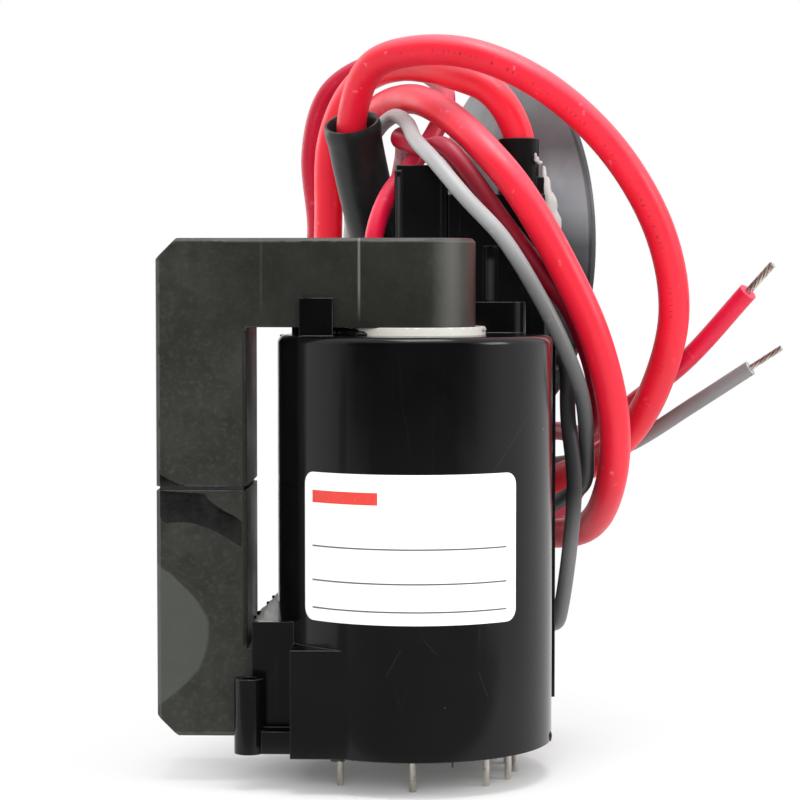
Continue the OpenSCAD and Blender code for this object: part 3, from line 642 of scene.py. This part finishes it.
def sheath_finish(name, tone, scuff_and_highlight, roughness, bloom, settled, marked=None, painted_shades=()):
    """Smooth extruded sheath: slight tone drift, pale scuffs, a soft bloom, and a painted highlight on
    faces that look up, as strong as settled.

    Printed strokes may run along one stretch of it, and painted light and shade may change along it, as
    the sum of ramps given as (from, to, painted shade at the start, painted shade at the end), the
    places in metres.
    """
    finish, tree = new_finish(name, {
        "Specular IOR Level": 0.5, "Sheen Weight": bloom, "Sheen Roughness": 0.35,
        "Sheen Tint": (*scuff_and_highlight, 1)})
    gone, turn, _ = split(tree, add(tree, "ShaderNodeUVMap", uv_map="along").outputs[0])
    deep, pale = [0.86 * c for c in tone], [min(1.0, 1.08 * c) for c in tone]
    colour = layered(
        tree, clouded(tree, 60, 3, 0.3, 0.7, deep, pale),
        (ranged(tree, grain(tree, 520, 5), 0.66, 0.76, 0, 0.28), scuff_and_highlight),
        (specks(tree, 330, 0.05, 0.05, 0.4), scuff_and_highlight),
        # Faces that look up take the pale colour: a painted highlight.
        (ranged(tree, split(tree, facing(tree))[2], 0.25, 1.0, 0.0, settled), scuff_and_highlight))
    if marked:
        first, last, row_turn = marked
        stroke_pitch, row_half = 0.9 * mm, 0.017
        cell = sums(tree, "DIVIDE", gone, stroke_pitch)
        sockets = {"W": sums(tree, "FLOOR", cell)}
        number = add(tree, "ShaderNodeTexWhiteNoise", sockets, noise_dimensions="1D")
        filled = ranged(tree, number.outputs["Value"], 0.3, 1.0, 0.0, 0.45)
        ink = times(tree, sums(tree, "LESS_THAN", sums(tree, "FRACT", cell), filled),
                    sums(tree, "LESS_THAN", apart(tree, turn, row_turn), row_half),
                    ranged(tree, grain(tree, 1800, 3), 0.35, 0.6, 0.1, 0.6),
                    sums(tree, "GREATER_THAN", gone, first), sums(tree, "LESS_THAN", gone, last))
        colour = tinted(tree, ink, colour, (0.14, 0.004, 0.010))
    shade = 0.0
    for start, end, near, far in painted_shades:
        shade = sums(tree, "ADD", ranged(tree, gone, start, end, near, far), shade)
    if painted_shades:
        colour = shaded(tree, colour, shade)
    surfaced(finish, colour, uneven(tree, 240, 3, roughness, roughness + 0.14),
             grain(tree, 700, 3), 0.12, 0.05 * mm)
    return finish


anode_d = 4.8 * mm
anode_line = laid_out([
    (15.5, 27, 83), (15.5, 27, 89), (12.5, 28, 95), (7.5, 32, 98.5), (-3, 44, 101.5),
    (-11, 54, 99), (-15.5, 58, 90), (-16, 58, 77), (-16, 56, 62), (-15, 53, 46),
    (-7, 51, 33), (6, 49, 26), (19, 46, 25), (27, 38, 27), (30, 26, 35),
    (30, 18, 46), (27, 15, 58), (22, 15, 69), (16, 16, 79.5), (10.5, 20, 86.5),
    (4, 30, 93), (-2, 41, 96), (-8, 52, 94), (-10.5, 57, 85), (-10.5, 56, 70),
    (-7, 53, 53), (3, 50, 38), (14, 48, 32), (24, 43, 35), (32, 34, 41),
    (37, 27, 50), (39.5, 23, 62), (37, 21, 74.5), (30, 20, 86.5), (20, 21, 96),
    (9, 24, 101.5), (-1, 28, 102.5), (-8, 32, 100), (-11, 37, 92), (-10, 40, 86),
])
# The ramps paint shade on the two stretches that pass in the shadow beside the drum.
bright_red = sheath_finish(
    "bright_red_sheath", (0.86, 0.010, 0.034), (0.95, 0.42, 0.52), 0.36, 0.07, 0.34,
    marked=(0.392, 0.468, 0.47),
    painted_shades=[(0.140, 0.154, 1.0, 0.55), (0.156, 0.170, 0.0, 0.45), (0.378, 0.384, 0.0, -0.2),
            (0.394, 0.402, 0.0, 0.2)])
anode_sheath = lead("anode_lead", anode_line, anode_d, 28, bright_red)


# Anode cap: satin rubber, moulded in one piece as a wide grey skirt with a stepped hub and a
# bent black neck. The lead goes into the neck, and a spring clip sits in the hub's pocket.
cap_centre = Vector((15, 56, 72.6)) * mm
cap_turn = Matrix.Rotation(radians(26), 4, "Z") @ Matrix.Rotation(radians(-90), 4, "Y")
cap_axis = cap_turn.to_3x3().col[2]


def cap_rubber(name, tone, dusted, dust, painted_light=False):
    """Satin rubber with a cloudy tone and a bloom of talc from the mould.

    One with painted light has painted shade low down, is darker on its rim, and has a painted highlight,
    a pale wedge, on its outer face.
    """
    finish, tree = new_finish(name, {"Specular IOR Level": 0.36})
    deep, pale = [0.8 * c for c in tone], [1.25 * c for c in tone]
    colour = clouded(tree, 70, 4, 0.3, 0.7, deep, pale)
    if painted_light:
        across, _, up = split(tree, place(tree))
        outwards = vector_sums(tree, "DOT_PRODUCT", facing(tree), cap_axis)
        painted_highlight_wedge = times(tree, ranged(tree, up, 72 * mm, 78 * mm), ranged(tree, up, 82 * mm, 88 * mm, 1, 0),
                      ranged(tree, across, 16 * mm, 21 * mm), ranged(tree, outwards, 0.3, 0.6, 0.0, 1.8))
        # Painted shade low down, with the painted highlight wedge added to it.
        shade = sums(tree, "ADD", ranged(tree, up, 50 * mm, 78 * mm, 0.3, 0.9), painted_highlight_wedge)
        away = vector_sums(tree, "DISTANCE", place(tree), cap_centre)
        rim = ranged(tree, away, 28.9 * mm, 29.2 * mm, 1.0, 0.4)
        colour = shaded(tree, colour, times(tree, shade, rim))
    talc = ranged(tree, grain(tree, 380, 5), 0.55, 0.8, 0, dust)
    surfaced(finish, tinted(tree, talc, colour, dusted), uneven(tree, 300, 3, 0.3, 0.42),
             grain(tree, 1500, 3), 0.14, 0.04 * mm)
    return finish


skirt_rubber = cap_rubber("grey_skirt_rubber", (0.155, 0.170, 0.180), (0.21, 0.212, 0.216), 0.2,
                          painted_light=True)
neck_rubber = cap_rubber("black_neck_rubber", (0.014, 0.0145, 0.0145), (0.055, 0.055, 0.057), 0.3)

skirt_profile = [
    (0, 10), (8.6, 10), (9, 9.6), (9, 5.6), (9.3, 5.2), (11.6, 5.2), (12.2, 5.05),
    (20, 2.6), (27.6, 0.15), (28.1, 0), (29.1, 0), (29.4, 0.15), (29.5, 0.5), (29.45, 0.9),
    (29.1, 1.2), (28.4, 1.45), (24, 3.15), (19, 5.15), (17.5, 5.75), (17.0, 6.2), (16.8, 6.9),
    (15.3, 9.6), (14.9, 10.2), (13.4, 11.7), (12.7, 12), (0, 12),
]
sides = 96
angles = [tau * k / sides for k in range(sides)]
shape = bmesh.new()
rings = []
for r, z in skirt_profile:
    spots = [(r * cos(a), r * sin(a), z) for a in angles] if r else [(0, 0, z)]
    ring = [shape.verts.new(Vector(spot) * mm) for spot in spots]
    rings.append(ring if r else ring * sides)
for lower, upper in zip(rings, rings[1:]):
    for k in range(sides):
        n = (k + 1) % sides
        corners = [lower[k], lower[n], upper[n], upper[k]]
        shape.faces.new(list(dict.fromkeys(corners)))
bmesh.ops.recalc_face_normals(shape, faces=shape.faces)
stand = Matrix.Translation(cap_centre) @ cap_turn
bmesh.ops.transform(shape, matrix=stand, verts=shape.verts)
cap = new_piece("anode_cap_skirt", shape, skirt_rubber)
smoothed(cap, 38)
stands_for(cap, "anode_cap")

neck_line = laid_out([
    (5, 51, 72.6), (0, 48.6, 71.5), (-4, 46.6, 71.5), (-7, 44.8, 74),
    (-8.5, 43, 79), (-10, 40, 86), (-11, 37, 92),
])
neck_r, root_swell, root_points = 4.4, 1.4, 14
lip = (4.42, 4.48, 4.56, 4.62, 4.64, 4.6, 4.42)
bore = (4.05, 3.75, 3.6, 3.45, 3.3, 3.15, 3.0, 2.85, 2.7, 2.6, 2.5, 2.45)
mouth = len(neck_line) - 1
outside = [neck_r + root_swell * max(0, 1 - i / root_points) ** 2 for i in range(mouth + 1 - len(lip))]
neck_walls = [(i, r * mm) for i, r in enumerate([*outside, *lip])]
neck_walls += [(mouth - i, r * mm) for i, r in enumerate(bore)]
neck = sheath("anode_cap_neck", neck_line, neck_walls, 40, neck_rubber)
rides(neck)

spring_steel = mottled("spring_steel", {"Metallic": 1.0},
                       ((0.62, 0.61, 0.58), (0.45, 0.44, 0.41)), (500, 3, 0, 1), (900, 2, 0.22, 0.4))
clip = softened("anode_clip", spring_steel, 0.1 * mm)


# Focus lead: a thinner deep red sheath of about 38 cm. It leaves the top of the unit, makes
# its own loop beside the anode lead and ends stripped and tinned at the right.
focus_d = 3.0 * mm
focus_line = laid_out([
    (-7, 29, 69), (-7, 29, 74), (-5, 31.5, 80), (-1, 35, 85.5), (2, 38, 90),
    (4, 43, 95), (3, 50, 99), (-3, 58, 103), (-10.5, 63, 103), (-17, 64, 98),
    (-19.5, 64, 88), (-18.5, 64, 75), (-20, 64, 64), (-18, 64, 57.5), (-13.5, 64, 55),
    (-8.5, 64, 57), (-6.5, 64, 62.5), (-6, 64, 75), (-4, 60, 84), (-3, 51, 88),
    (-3, 42, 90), (-3, 35, 89), (1, 29, 87.5), (5, 21, 86.5), (13.5, 17, 75),
    (18.5, 18, 68.5), (23.5, 19.5, 62), (27, 22, 53), (28, 28, 45), (26, 37, 42),
    (22, 45, 42), (17, 52, 40), (12, 58, 38), (9, 64, 33), (11, 69, 27),
    (18, 69, 24), (24, 64, 27), (28, 56, 35), (32, 46, 44), (42, 31, 54),
    (51, 24, 65),
])
# The ramps paint light and shade along it: brighter where it leaves the unit, painted shadow where it
# passes behind the grey lead, brighter again towards its end.
deep_red = sheath_finish(
    "deep_red_sheath", (0.64, 0.005, 0.040), (0.85, 0.26, 0.36), 0.34, 0.03, 0.3,
    painted_shades=[(0.012, 0.05, 1.35, 0.8), (0.185, 0.2, 0.0, -0.5), (0.218, 0.232, 0.0, 0.35),
            (0.315, 0.34, 0.0, 0.4)])
focus_sheath = lead("focus_lead", focus_line, focus_d, 20, deep_red)


# Screen lead: the thinnest one, grey, of about 32 cm. It leaves the unit's rear face, comes
# over the top and down the drum's side, and ends stripped and tinned like the focus lead.
screen_d = 2.4 * mm
screen_line = laid_out([
    (-13, 33, 60), (-13, 39, 60), (-13, 45, 64), (-12, 49, 72), (-11, 50, 82),
    (-8, 47, 90), (-4.5, 39, 93), (-2, 31, 91.5), (-0.5, 24, 88.5), (2.5, 17, 85),
    (7.5, 12, 79), (13, 11, 73), (18, 11, 65), (22, 11, 57), (25, 14, 49),
    (26, 21, 41), (26, 28, 35), (23, 34, 32), (19, 38, 29), (15, 39, 24),
    (14, 39, 18), (16, 37, 13.5), (21, 32, 12), (22.5, 25, 16.5), (24, 18, 34),
    (23, 18, 46), (23, 23, 53), (22, 30, 54), (17, 37, 51), (12, 42, 47),
    (9, 47, 43), (12, 52, 38), (19, 52, 36), (26, 48, 37), (34, 42, 40),
    (43.5, 33, 47), (52, 29, 53),
])
# The ramps paint light and shade along it: a painted highlight on the stretch over the top, painted
# shade down the drum's side with one lighter stretch, and lighter again towards its end.
grey_sheath = sheath_finish(
    "grey_lead_sheath", (0.205, 0.203, 0.205), (0.45, 0.45, 0.45), 0.4, 0.02, 0.0,
    painted_shades=[(0.090, 0.101, 1.15, 0.0), (0.100, 0.133, 0.95, 0.14), (0.172, 0.183, 0.0, 0.66),
            (0.199, 0.209, 0.0, -0.66), (0.265, 0.300, 0.0, 0.95)])
screen_sheath = lead("screen_lead", screen_line, screen_d, 18, grey_sheath)


# Bare ends of the two thin leads: seven tinned strands twisted together, six of them laid
# round a straight one, 6 mm out of the sheath that was stripped back.
strands, given = new_rule("twisted_strands", Length="Float", Lay="Float", Wire="Float", Turns="Float")
helix = {"Resolution": 20, "Rotations": given["Turns"], "Height": given["Length"],
         "Start Radius": given["Lay"], "End Radius": given["Lay"]}
helix = add(strands, "GeometryNodeCurveSpiral", helix).outputs[0]
number = add(strands, "GeometryNodeInputIndex").outputs[0]
spread = add(strands, "ShaderNodeCombineXYZ", {2: times(strands, number, tau / 6)}).outputs[0]
six = add(strands, "GeometryNodePoints", {"Count": 6}).outputs[0]
laid = {"Points": six, "Instance": helix, "Rotation": spread}
laid = add(strands, "GeometryNodeInstanceOnPoints", laid).outputs[0]
tall = add(strands, "ShaderNodeCombineXYZ", {2: given["Length"]}).outputs[0]
straight = add(strands, "GeometryNodeCurvePrimitiveLine", {"End": tall}).outputs[0]
bunch = add(strands, "GeometryNodeJoinGeometry", {0: laid})
strands.links.new(straight, bunch.inputs[0])
bunch = add(strands, "GeometryNodeRealizeInstances", {0: bunch.outputs[0]}).outputs[0]
section = {"Resolution": 8, "Radius": given["Wire"]}
section = add(strands, "GeometryNodeCurvePrimitiveCircle", section).outputs[0]
wires = {"Curve": bunch, "Profile Curve": section, "Fill Caps": True}
wires = add(strands, "GeometryNodeCurveToMesh", wires).outputs[0]
close_rule(strands, wires, tinned)


def stripped_end(name, line, diameter):
    """The strands out of one lead's far end, in line with it."""
    r, bare, tucked_in = diameter / 5, 6.0 * mm, 0.6 * mm
    sizes = {"Length": bare + tucked_in, "Lay": 0.62 * r, "Wire": 0.36 * r, "Turns": 1.0}
    mesh = made_by(strands, sizes)
    way = (line[-1] - line[-2]).normalized()
    turn = way.to_track_quat("Z", "Y").to_matrix().to_4x4()
    mesh.transform(Matrix.Translation(line[-1] - tucked_in * way) @ turn)
    piece = shown(name, mesh)
    smoothed(piece, 50)
    rides(piece)
    return piece


focus_strands = stripped_end("focus_lead_strands", focus_line, focus_d)
screen_strands = stripped_end("screen_lead_strands", screen_line, screen_d)
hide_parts("lead_tips")


# Glue and flash: pale hot glue that holds the core to the drum and the lead in its tower,
# black drops on the rim, a black patch at the collar that is partly glue and mostly painted
# shadow, and crumbs of resin that ran over the case's lower edge when it was poured.
def set_glue(name, *tones):
    """Glue gone hard: milky, half gloss and a little wavy."""
    milky = {"Specular IOR Level": 0.45, "Subsurface Weight": 0.15,
             "Subsurface Radius": (0.001, 0.001, 0.0008)}
    return mottled(name, milky, tones, (420, 4, 0.35, 0.7), (700, 3, 0.3, 0.5), (700, 3, 0.2, 0.06 * mm))


hot_glue = set_glue("pale_hot_glue", (0.37, 0.37, 0.35), (0.29, 0.285, 0.265))
core_filler = set_glue("white_core_filler", (0.62, 0.62, 0.60), (0.54, 0.535, 0.51))


def drops(name, lumps, finish, voxel):
    """Set drops in one closed skin, from centres and radii in millimetres."""
    shape = bmesh.new()
    for number, (centre, radii) in enumerate(lumps):
        for vert in bmesh.ops.create_icosphere(shape, subdivisions=3, radius=1.0)["verts"]:
            dent = 1 + 0.15 * noise.noise(1.9 * vert.co + Vector((7.3 * number, 1.7, 3.1)))
            swell = Vector([dent * way * r for way, r in zip(vert.co, radii)])
            vert.co = (Vector(centre) + swell) * mm
    piece = new_piece(name, shape, finish)
    skin = piece.modifiers.new("one_skin", "REMESH")
    skin.mode, skin.voxel_size = "VOXEL", voxel * mm
    piece.modifiers.new("settled", "SMOOTH").iterations = 8
    make_solid(piece)
    smoothed(piece, 70)
    rides(piece)


drops("core_fillet", [
    ((-20.6, 4.0, 15.8), (3.6, 3.0, 2.2)), ((-21.6, 4.0, 17.1), (1.6, 2.2, 1.6)),
    ((-20.7, 4.0, 18.1), (1.6, 2.2, 1.6)), ((-19.8, 4.0, 19.0), (1.6, 2.2, 1.6)),
    ((-19.2, 4.0, 19.6), (1.6, 2.2, 1.6)),
], core_filler, 0.16)
drops("tower_glue", [
    ((19.45, 26.6, 83.2), (0.45, 1.0, 1.4)), ((19.8, 26.6, 81.0), (0.85, 1.2, 2.0)),
    ((20.2, 26.6, 78.4), (1.4, 1.3, 2.4)), ((20.4, 26.6, 75.6), (1.8, 1.3, 2.4)),
    ((18.3, 24.4, 85.5), (0.45, 0.35, 0.5)), ((18.75, 24.9, 85.0), (0.5, 0.4, 0.35)),
    ((18.1, 24.1, 86.1), (0.25, 0.25, 0.45)),
], core_filler, 0.11)
drops("collar_burr", [
    ((9.5, -2.6, 59.75), (0.9, 0.7, 0.34)), ((9.2, -3.0, 59.95), (0.5, 0.5, 0.3)),
], hot_glue, 0.07)
drops("black_drops_and_collar_shadow", [
    # The first four lumps cover the collar's left end: partly glue, mostly a painted shadow.
    ((-10.6, -3.6, 59.3), (1.0, 1.2, 0.72)), ((-9.8, -5.4, 59.3), (1.0, 1.2, 0.72)),
    ((-8.7, -7.0, 59.3), (1.1, 1.1, 0.7)), ((-7.6, -8.0, 59.15), (1.0, 0.9, 0.5)),
    ((-21.0, 3.4, 20.0), (0.28, 0.3, 0.3)), ((-21.8, 3.4, 19.1), (0.3, 0.3, 0.3)),
    ((-23.1, 3.4, 17.6), (0.42, 0.4, 0.4)), ((-23.8, 3.2, 17.0), (0.35, 0.35, 0.3)),
    ((-10.8, -16.4, -0.1), (0.8, 0.6, 0.5)), ((-9.8, -17.0, -0.1), (0.5, 0.4, 0.35)),
    ((5.7, -19.2, -0.3), (0.2, 0.25, 0.5)), ((19.7, -3.0, 0.7), (0.32, 0.6, 0.8)),
], glue_black, 0.09)

flash, given = new_rule("rim_crumbs", Count="Int", Radius="Float", Size="Float", Seed="Int")
arc = {"Resolution": 120, "Radius": given["Radius"], "Start Angle": radians(-148),
       "Sweep Angle": radians(296)}
arc = add(flash, "GeometryNodeCurveArc", arc).outputs[0]
spots = {"Curve": arc, "Count": given["Count"]}
spots = add(flash, "GeometryNodeCurveToPoints", spots).outputs[0]
kept = {"Probability": 0.45, "Seed": given["Seed"]}
kept = add(flash, "FunctionNodeRandomValue", kept, data_type="BOOLEAN").outputs[3]


def varied(low, high):
    """A vector drawn anew for each crumb, between two."""
    sockets = {0: low, 1: high, "Seed": given["Seed"]}
    return add(flash, "FunctionNodeRandomValue", sockets, data_type="FLOAT_VECTOR").outputs[0]


grit = {"Radius": given["Size"], "Subdivisions": 2}
grit = add(flash, "GeometryNodeMeshIcoSphere", grit).outputs[0]
grits = {"Points": spots, "Selection": kept, "Instance": grit, "Rotation": varied((0, 0, 0), (6, 6, 6)),
         "Scale": varied((0.4, 0.4, 0.3), (1.6, 1.1, 0.8))}
grits = add(flash, "GeometryNodeInstanceOnPoints", grits).outputs[0]
grits = add(flash, "GeometryNodeRealizeInstances", {0: grits}).outputs[0]
rough = add(flash, "ShaderNodeTexNoise", {"Scale": 2600.0}).outputs["Color"]
rough = scaled(flash, vector_sums(flash, "SUBTRACT", rough, (0.5, 0.5, 0.5)), 0.25 * mm)
grits = add(flash, "GeometryNodeSetPosition", {"Geometry": grits, "Offset": rough}).outputs[0]
close_rule(flash, grits, glue_black)
crumbs = made_by(flash, {"Count": 110, "Radius": 19.5 * mm, "Size": 0.15 * mm, "Seed": 4})
rim_crumbs = shown("rim_crumbs", crumbs)
smoothed(rim_crumbs, 60)
rides(rim_crumbs)


# Label: a sheet of white film with rounded corners, stuck round the front of the drum. It is
# blank apart from a red bar and a few thin rules.
label_white, tree = new_finish("white_label_film", {"Specular IOR Level": 0.45})
along, up, _ = split(tree, add(tree, "ShaderNodeUVMap", uv_map="sheet").outputs[0])
tone = layered(tree, clouded(tree, 90, 4, 0.3, 0.7, (0.975, 0.975, 0.97), (0.95, 0.95, 0.945)),
               (specks(tree, 500, 0.06, 0.05, 0.5), (0.5, 0.48, 0.45)))


def printed(left, right, low, high, soft=0.05):
    """Where ink lies between four edges given in millimetres on the sheet."""
    return times(tree, ranged(tree, along, left, left + soft), ranged(tree, along, right, right - soft),
                 ranged(tree, up, low, low + soft), ranged(tree, up, high, high - soft),
                 ranged(tree, grain(tree, 2500, 3), 0.2, 0.4, 0.9, 1.0))


tone = tinted(tree, printed(1.6, 12.4, 16.6, 18.4), tone, (0.72, 0.05, 0.035))
for low in (10.4, 5.6, 1.7):
    tone = tinted(tree, printed(1.6, 31.5, low, low + 0.28), tone, (0.10, 0.10, 0.105))
surfaced(label_white, tone, uneven(tree, 300, 3, 0.34, 0.48), grain(tree, 420, 3), 0.1, 0.05 * mm)

label_r, label_t, label_low, label_h, corner = 20.012, 0.1, 19.2, 20.9, 1.75
bent_r, label_from, label_turn = 20.07, radians(-139), radians(95)
label_wide = bent_r * label_turn
corner_steps, plain_steps, rows = 10, 60, 16
steps = [corner * (1 - cos(pi / 2 * k / corner_steps)) for k in range(corner_steps + 1)]
steps += [corner + (label_wide - 2 * corner) * k / plain_steps for k in range(1, plain_steps)]
steps += [label_wide - s for s in steps[corner_steps::-1]]
shape = bmesh.new()
on_sheet = shape.loops.layers.uv.new("sheet")
flat_place, skins = {}, []
for r in (label_r, label_r + label_t):
    skins.append([])
    for s in steps:
        inset = max(corner - s, corner - (label_wide - s), 0.0)
        trim = corner - sqrt(corner ** 2 - inset ** 2)
        angle = label_from + s / bent_r
        column = []
        for k in range(rows + 1):
            height = trim + (label_h - 2 * trim) * k / rows
            spot = (r * mm * cos(angle), r * mm * sin(angle), (label_low + height) * mm)
            column.append(shape.verts.new(spot))
            flat_place[column[-1]] = (s, height)
        skins[-1].append(column)
closed_sheet(shape, *skins)
for face in shape.faces:
    for loop in face.loops:
        loop[on_sheet].uv = flat_place[loop.vert]
label = new_piece("front_label", shape, label_white)
smoothed(label, 50)
stands_for(label, "label")


# Studio: a pale floor under the pins, a white surround, soft lamps at both sides and above,
# and a dark card behind the camera that keeps the front of the glossy drum black.
studio.view_settings.view_transform = "Standard"
camera = shown("camera", bpy.data.cameras.new("camera"))
camera.data.lens, camera.data.sensor_width = 108.54, 36.0
camera.data.clip_start = 0.01
camera.location = (0.008, -0.351, 0.068)
camera.rotation_euler = (radians(86.97), 0.0, radians(1.662))
studio.camera = camera


def seen_directly(tree):
    """One for rays from the camera, a mirror or glass, and nought for the light on the object."""
    ray = add(tree, "ShaderNodeLightPath").outputs
    either = sums(tree, "MAXIMUM", ray["Is Camera Ray"], ray["Is Glossy Ray"])
    return sums(tree, "MAXIMUM", either, ray["Is Transmission Ray"])


surround = bpy.data.worlds.new("white_surround")
surround.use_nodes = True
studio.world = surround
tree = surround.node_tree
sky = tree.nodes["Background"]
sky.inputs["Color"].default_value = (1, 1, 1, 1)
tree.links.new(ranged(tree, seen_directly(tree), 0, 1, 0.62, 1.0), sky.inputs["Strength"])


def bare_finish(name):
    """Starts a finish with no shader in it."""
    finish = bpy.data.materials.new(name)
    finish.use_nodes = True
    finish.node_tree.nodes.remove(finish.node_tree.nodes["Principled BSDF"])
    return finish, finish.node_tree


def mixed(tree, amount, one, two):
    """Mixes two shaders."""
    return add(tree, "ShaderNodeMixShader", {0: amount, 1: one, 2: two}).outputs[0]


def seen_as(tree, shader):
    """Makes a shader the one that shows."""
    tree.links.new(shader, tree.nodes["Material Output"].inputs["Surface"])


paper, tree = bare_finish("pale_floor")
matt = add(tree, "ShaderNodeBsdfDiffuse", {"Color": (0.93, 0.93, 0.93, 1)}).outputs[0]
glow = add(tree, "ShaderNodeEmission", {"Color": (1, 1, 1, 1), "Strength": 1.0}).outputs[0]
out = vector_sums(tree, "DISTANCE", place(tree), (0, 0, 0))
glowing = sums(tree, "ADD", ranged(tree, out, 0.016, 0.044, 0.05, 0.8),
               ranged(tree, out, 0.044, 0.12, 0.0, 0.2))
both = mixed(tree, times(tree, glowing, seen_directly(tree)), matt, glow)
under = add(tree, "ShaderNodeNewGeometry").outputs["Backfacing"]
seen_as(tree, mixed(tree, under, both, add(tree, "ShaderNodeBsdfTransparent").outputs[0]))
shape = bmesh.new()
bmesh.ops.create_grid(shape, x_segments=1, y_segments=1, size=3.0)
bmesh.ops.translate(shape, verts=shape.verts, vec=(0, 0, -5.1 * mm))
floor = new_piece("floor", shape, paper)

card_black, tree = bare_finish("dark_card")
sideways = split(tree, place(tree))[0]
open_side = ranged(tree, sums(tree, "ABSOLUTE", sideways), 0.44, 0.585)
velvet = add(tree, "ShaderNodeBsdfDiffuse", {"Color": (0, 0, 0, 1)}).outputs[0]
seen_as(tree, mixed(tree, open_side, velvet, add(tree, "ShaderNodeBsdfTransparent").outputs[0]))
card_r, card_half, card_steps, card_edges = 0.6, 80, 32, (-0.005, 0.7)
shape = bmesh.new()
columns = []
for step in range(card_steps + 1):
    a = radians(-90 - card_half + 2 * card_half * step / card_steps)
    spots = [(card_r * cos(a), card_r * sin(a), z) for z in card_edges]
    columns.append([shape.verts.new(spot) for spot in spots])
for one, two in zip(columns, columns[1:]):
    shape.faces.new((one[0], two[0], two[1], one[1]))
card = new_piece("dark_card", shape, card_black)

grey_cloth, tree = bare_finish("grey_apron")
seen_as(tree, add(tree, "ShaderNodeEmission", {"Color": (1, 1, 1, 1), "Strength": 0.35}).outputs[0])
shape = bmesh.new()
corners = ((-0.4, -0.6), (0.4, -0.6), (0.12, -0.04), (-0.12, -0.04))
shape.faces.new([shape.verts.new((x, y, -5.0 * mm)) for x, y in corners])
apron = new_piece("grey_apron", shape, grey_cloth)
for flag in (card, apron):
    flag.visible_camera = flag.visible_diffuse = False
    flag.visible_shadow = flag.visible_transmission = False


def lamp(name, where, size, power, glossy=True):
    """A square soft lamp that points at the middle of the object."""
    light = bpy.data.lights.new(name, "AREA")
    light.shape, light.size, light.energy = "SQUARE", size, power
    unit = shown(name, light)
    unit.location = where
    aim = Vector((0.0, 0.02, 0.045)) - Vector(where)
    unit.rotation_euler = aim.to_track_quat("-Z", "Y").to_euler()
    unit.visible_glossy = glossy


lamp("left_lamp", (-0.52, 0.36, 0.2), 0.35, 0.9)
lamp("right_lamp", (0.53, -0.14, 0.32), 0.22, 1.1)
lamp("overhead_lamp", (0.03, -0.05, 0.75), 0.32, 2.5)
lamp("front_fill", (0.05, -0.8, 0.30), 0.5, 3.7, glossy=False)
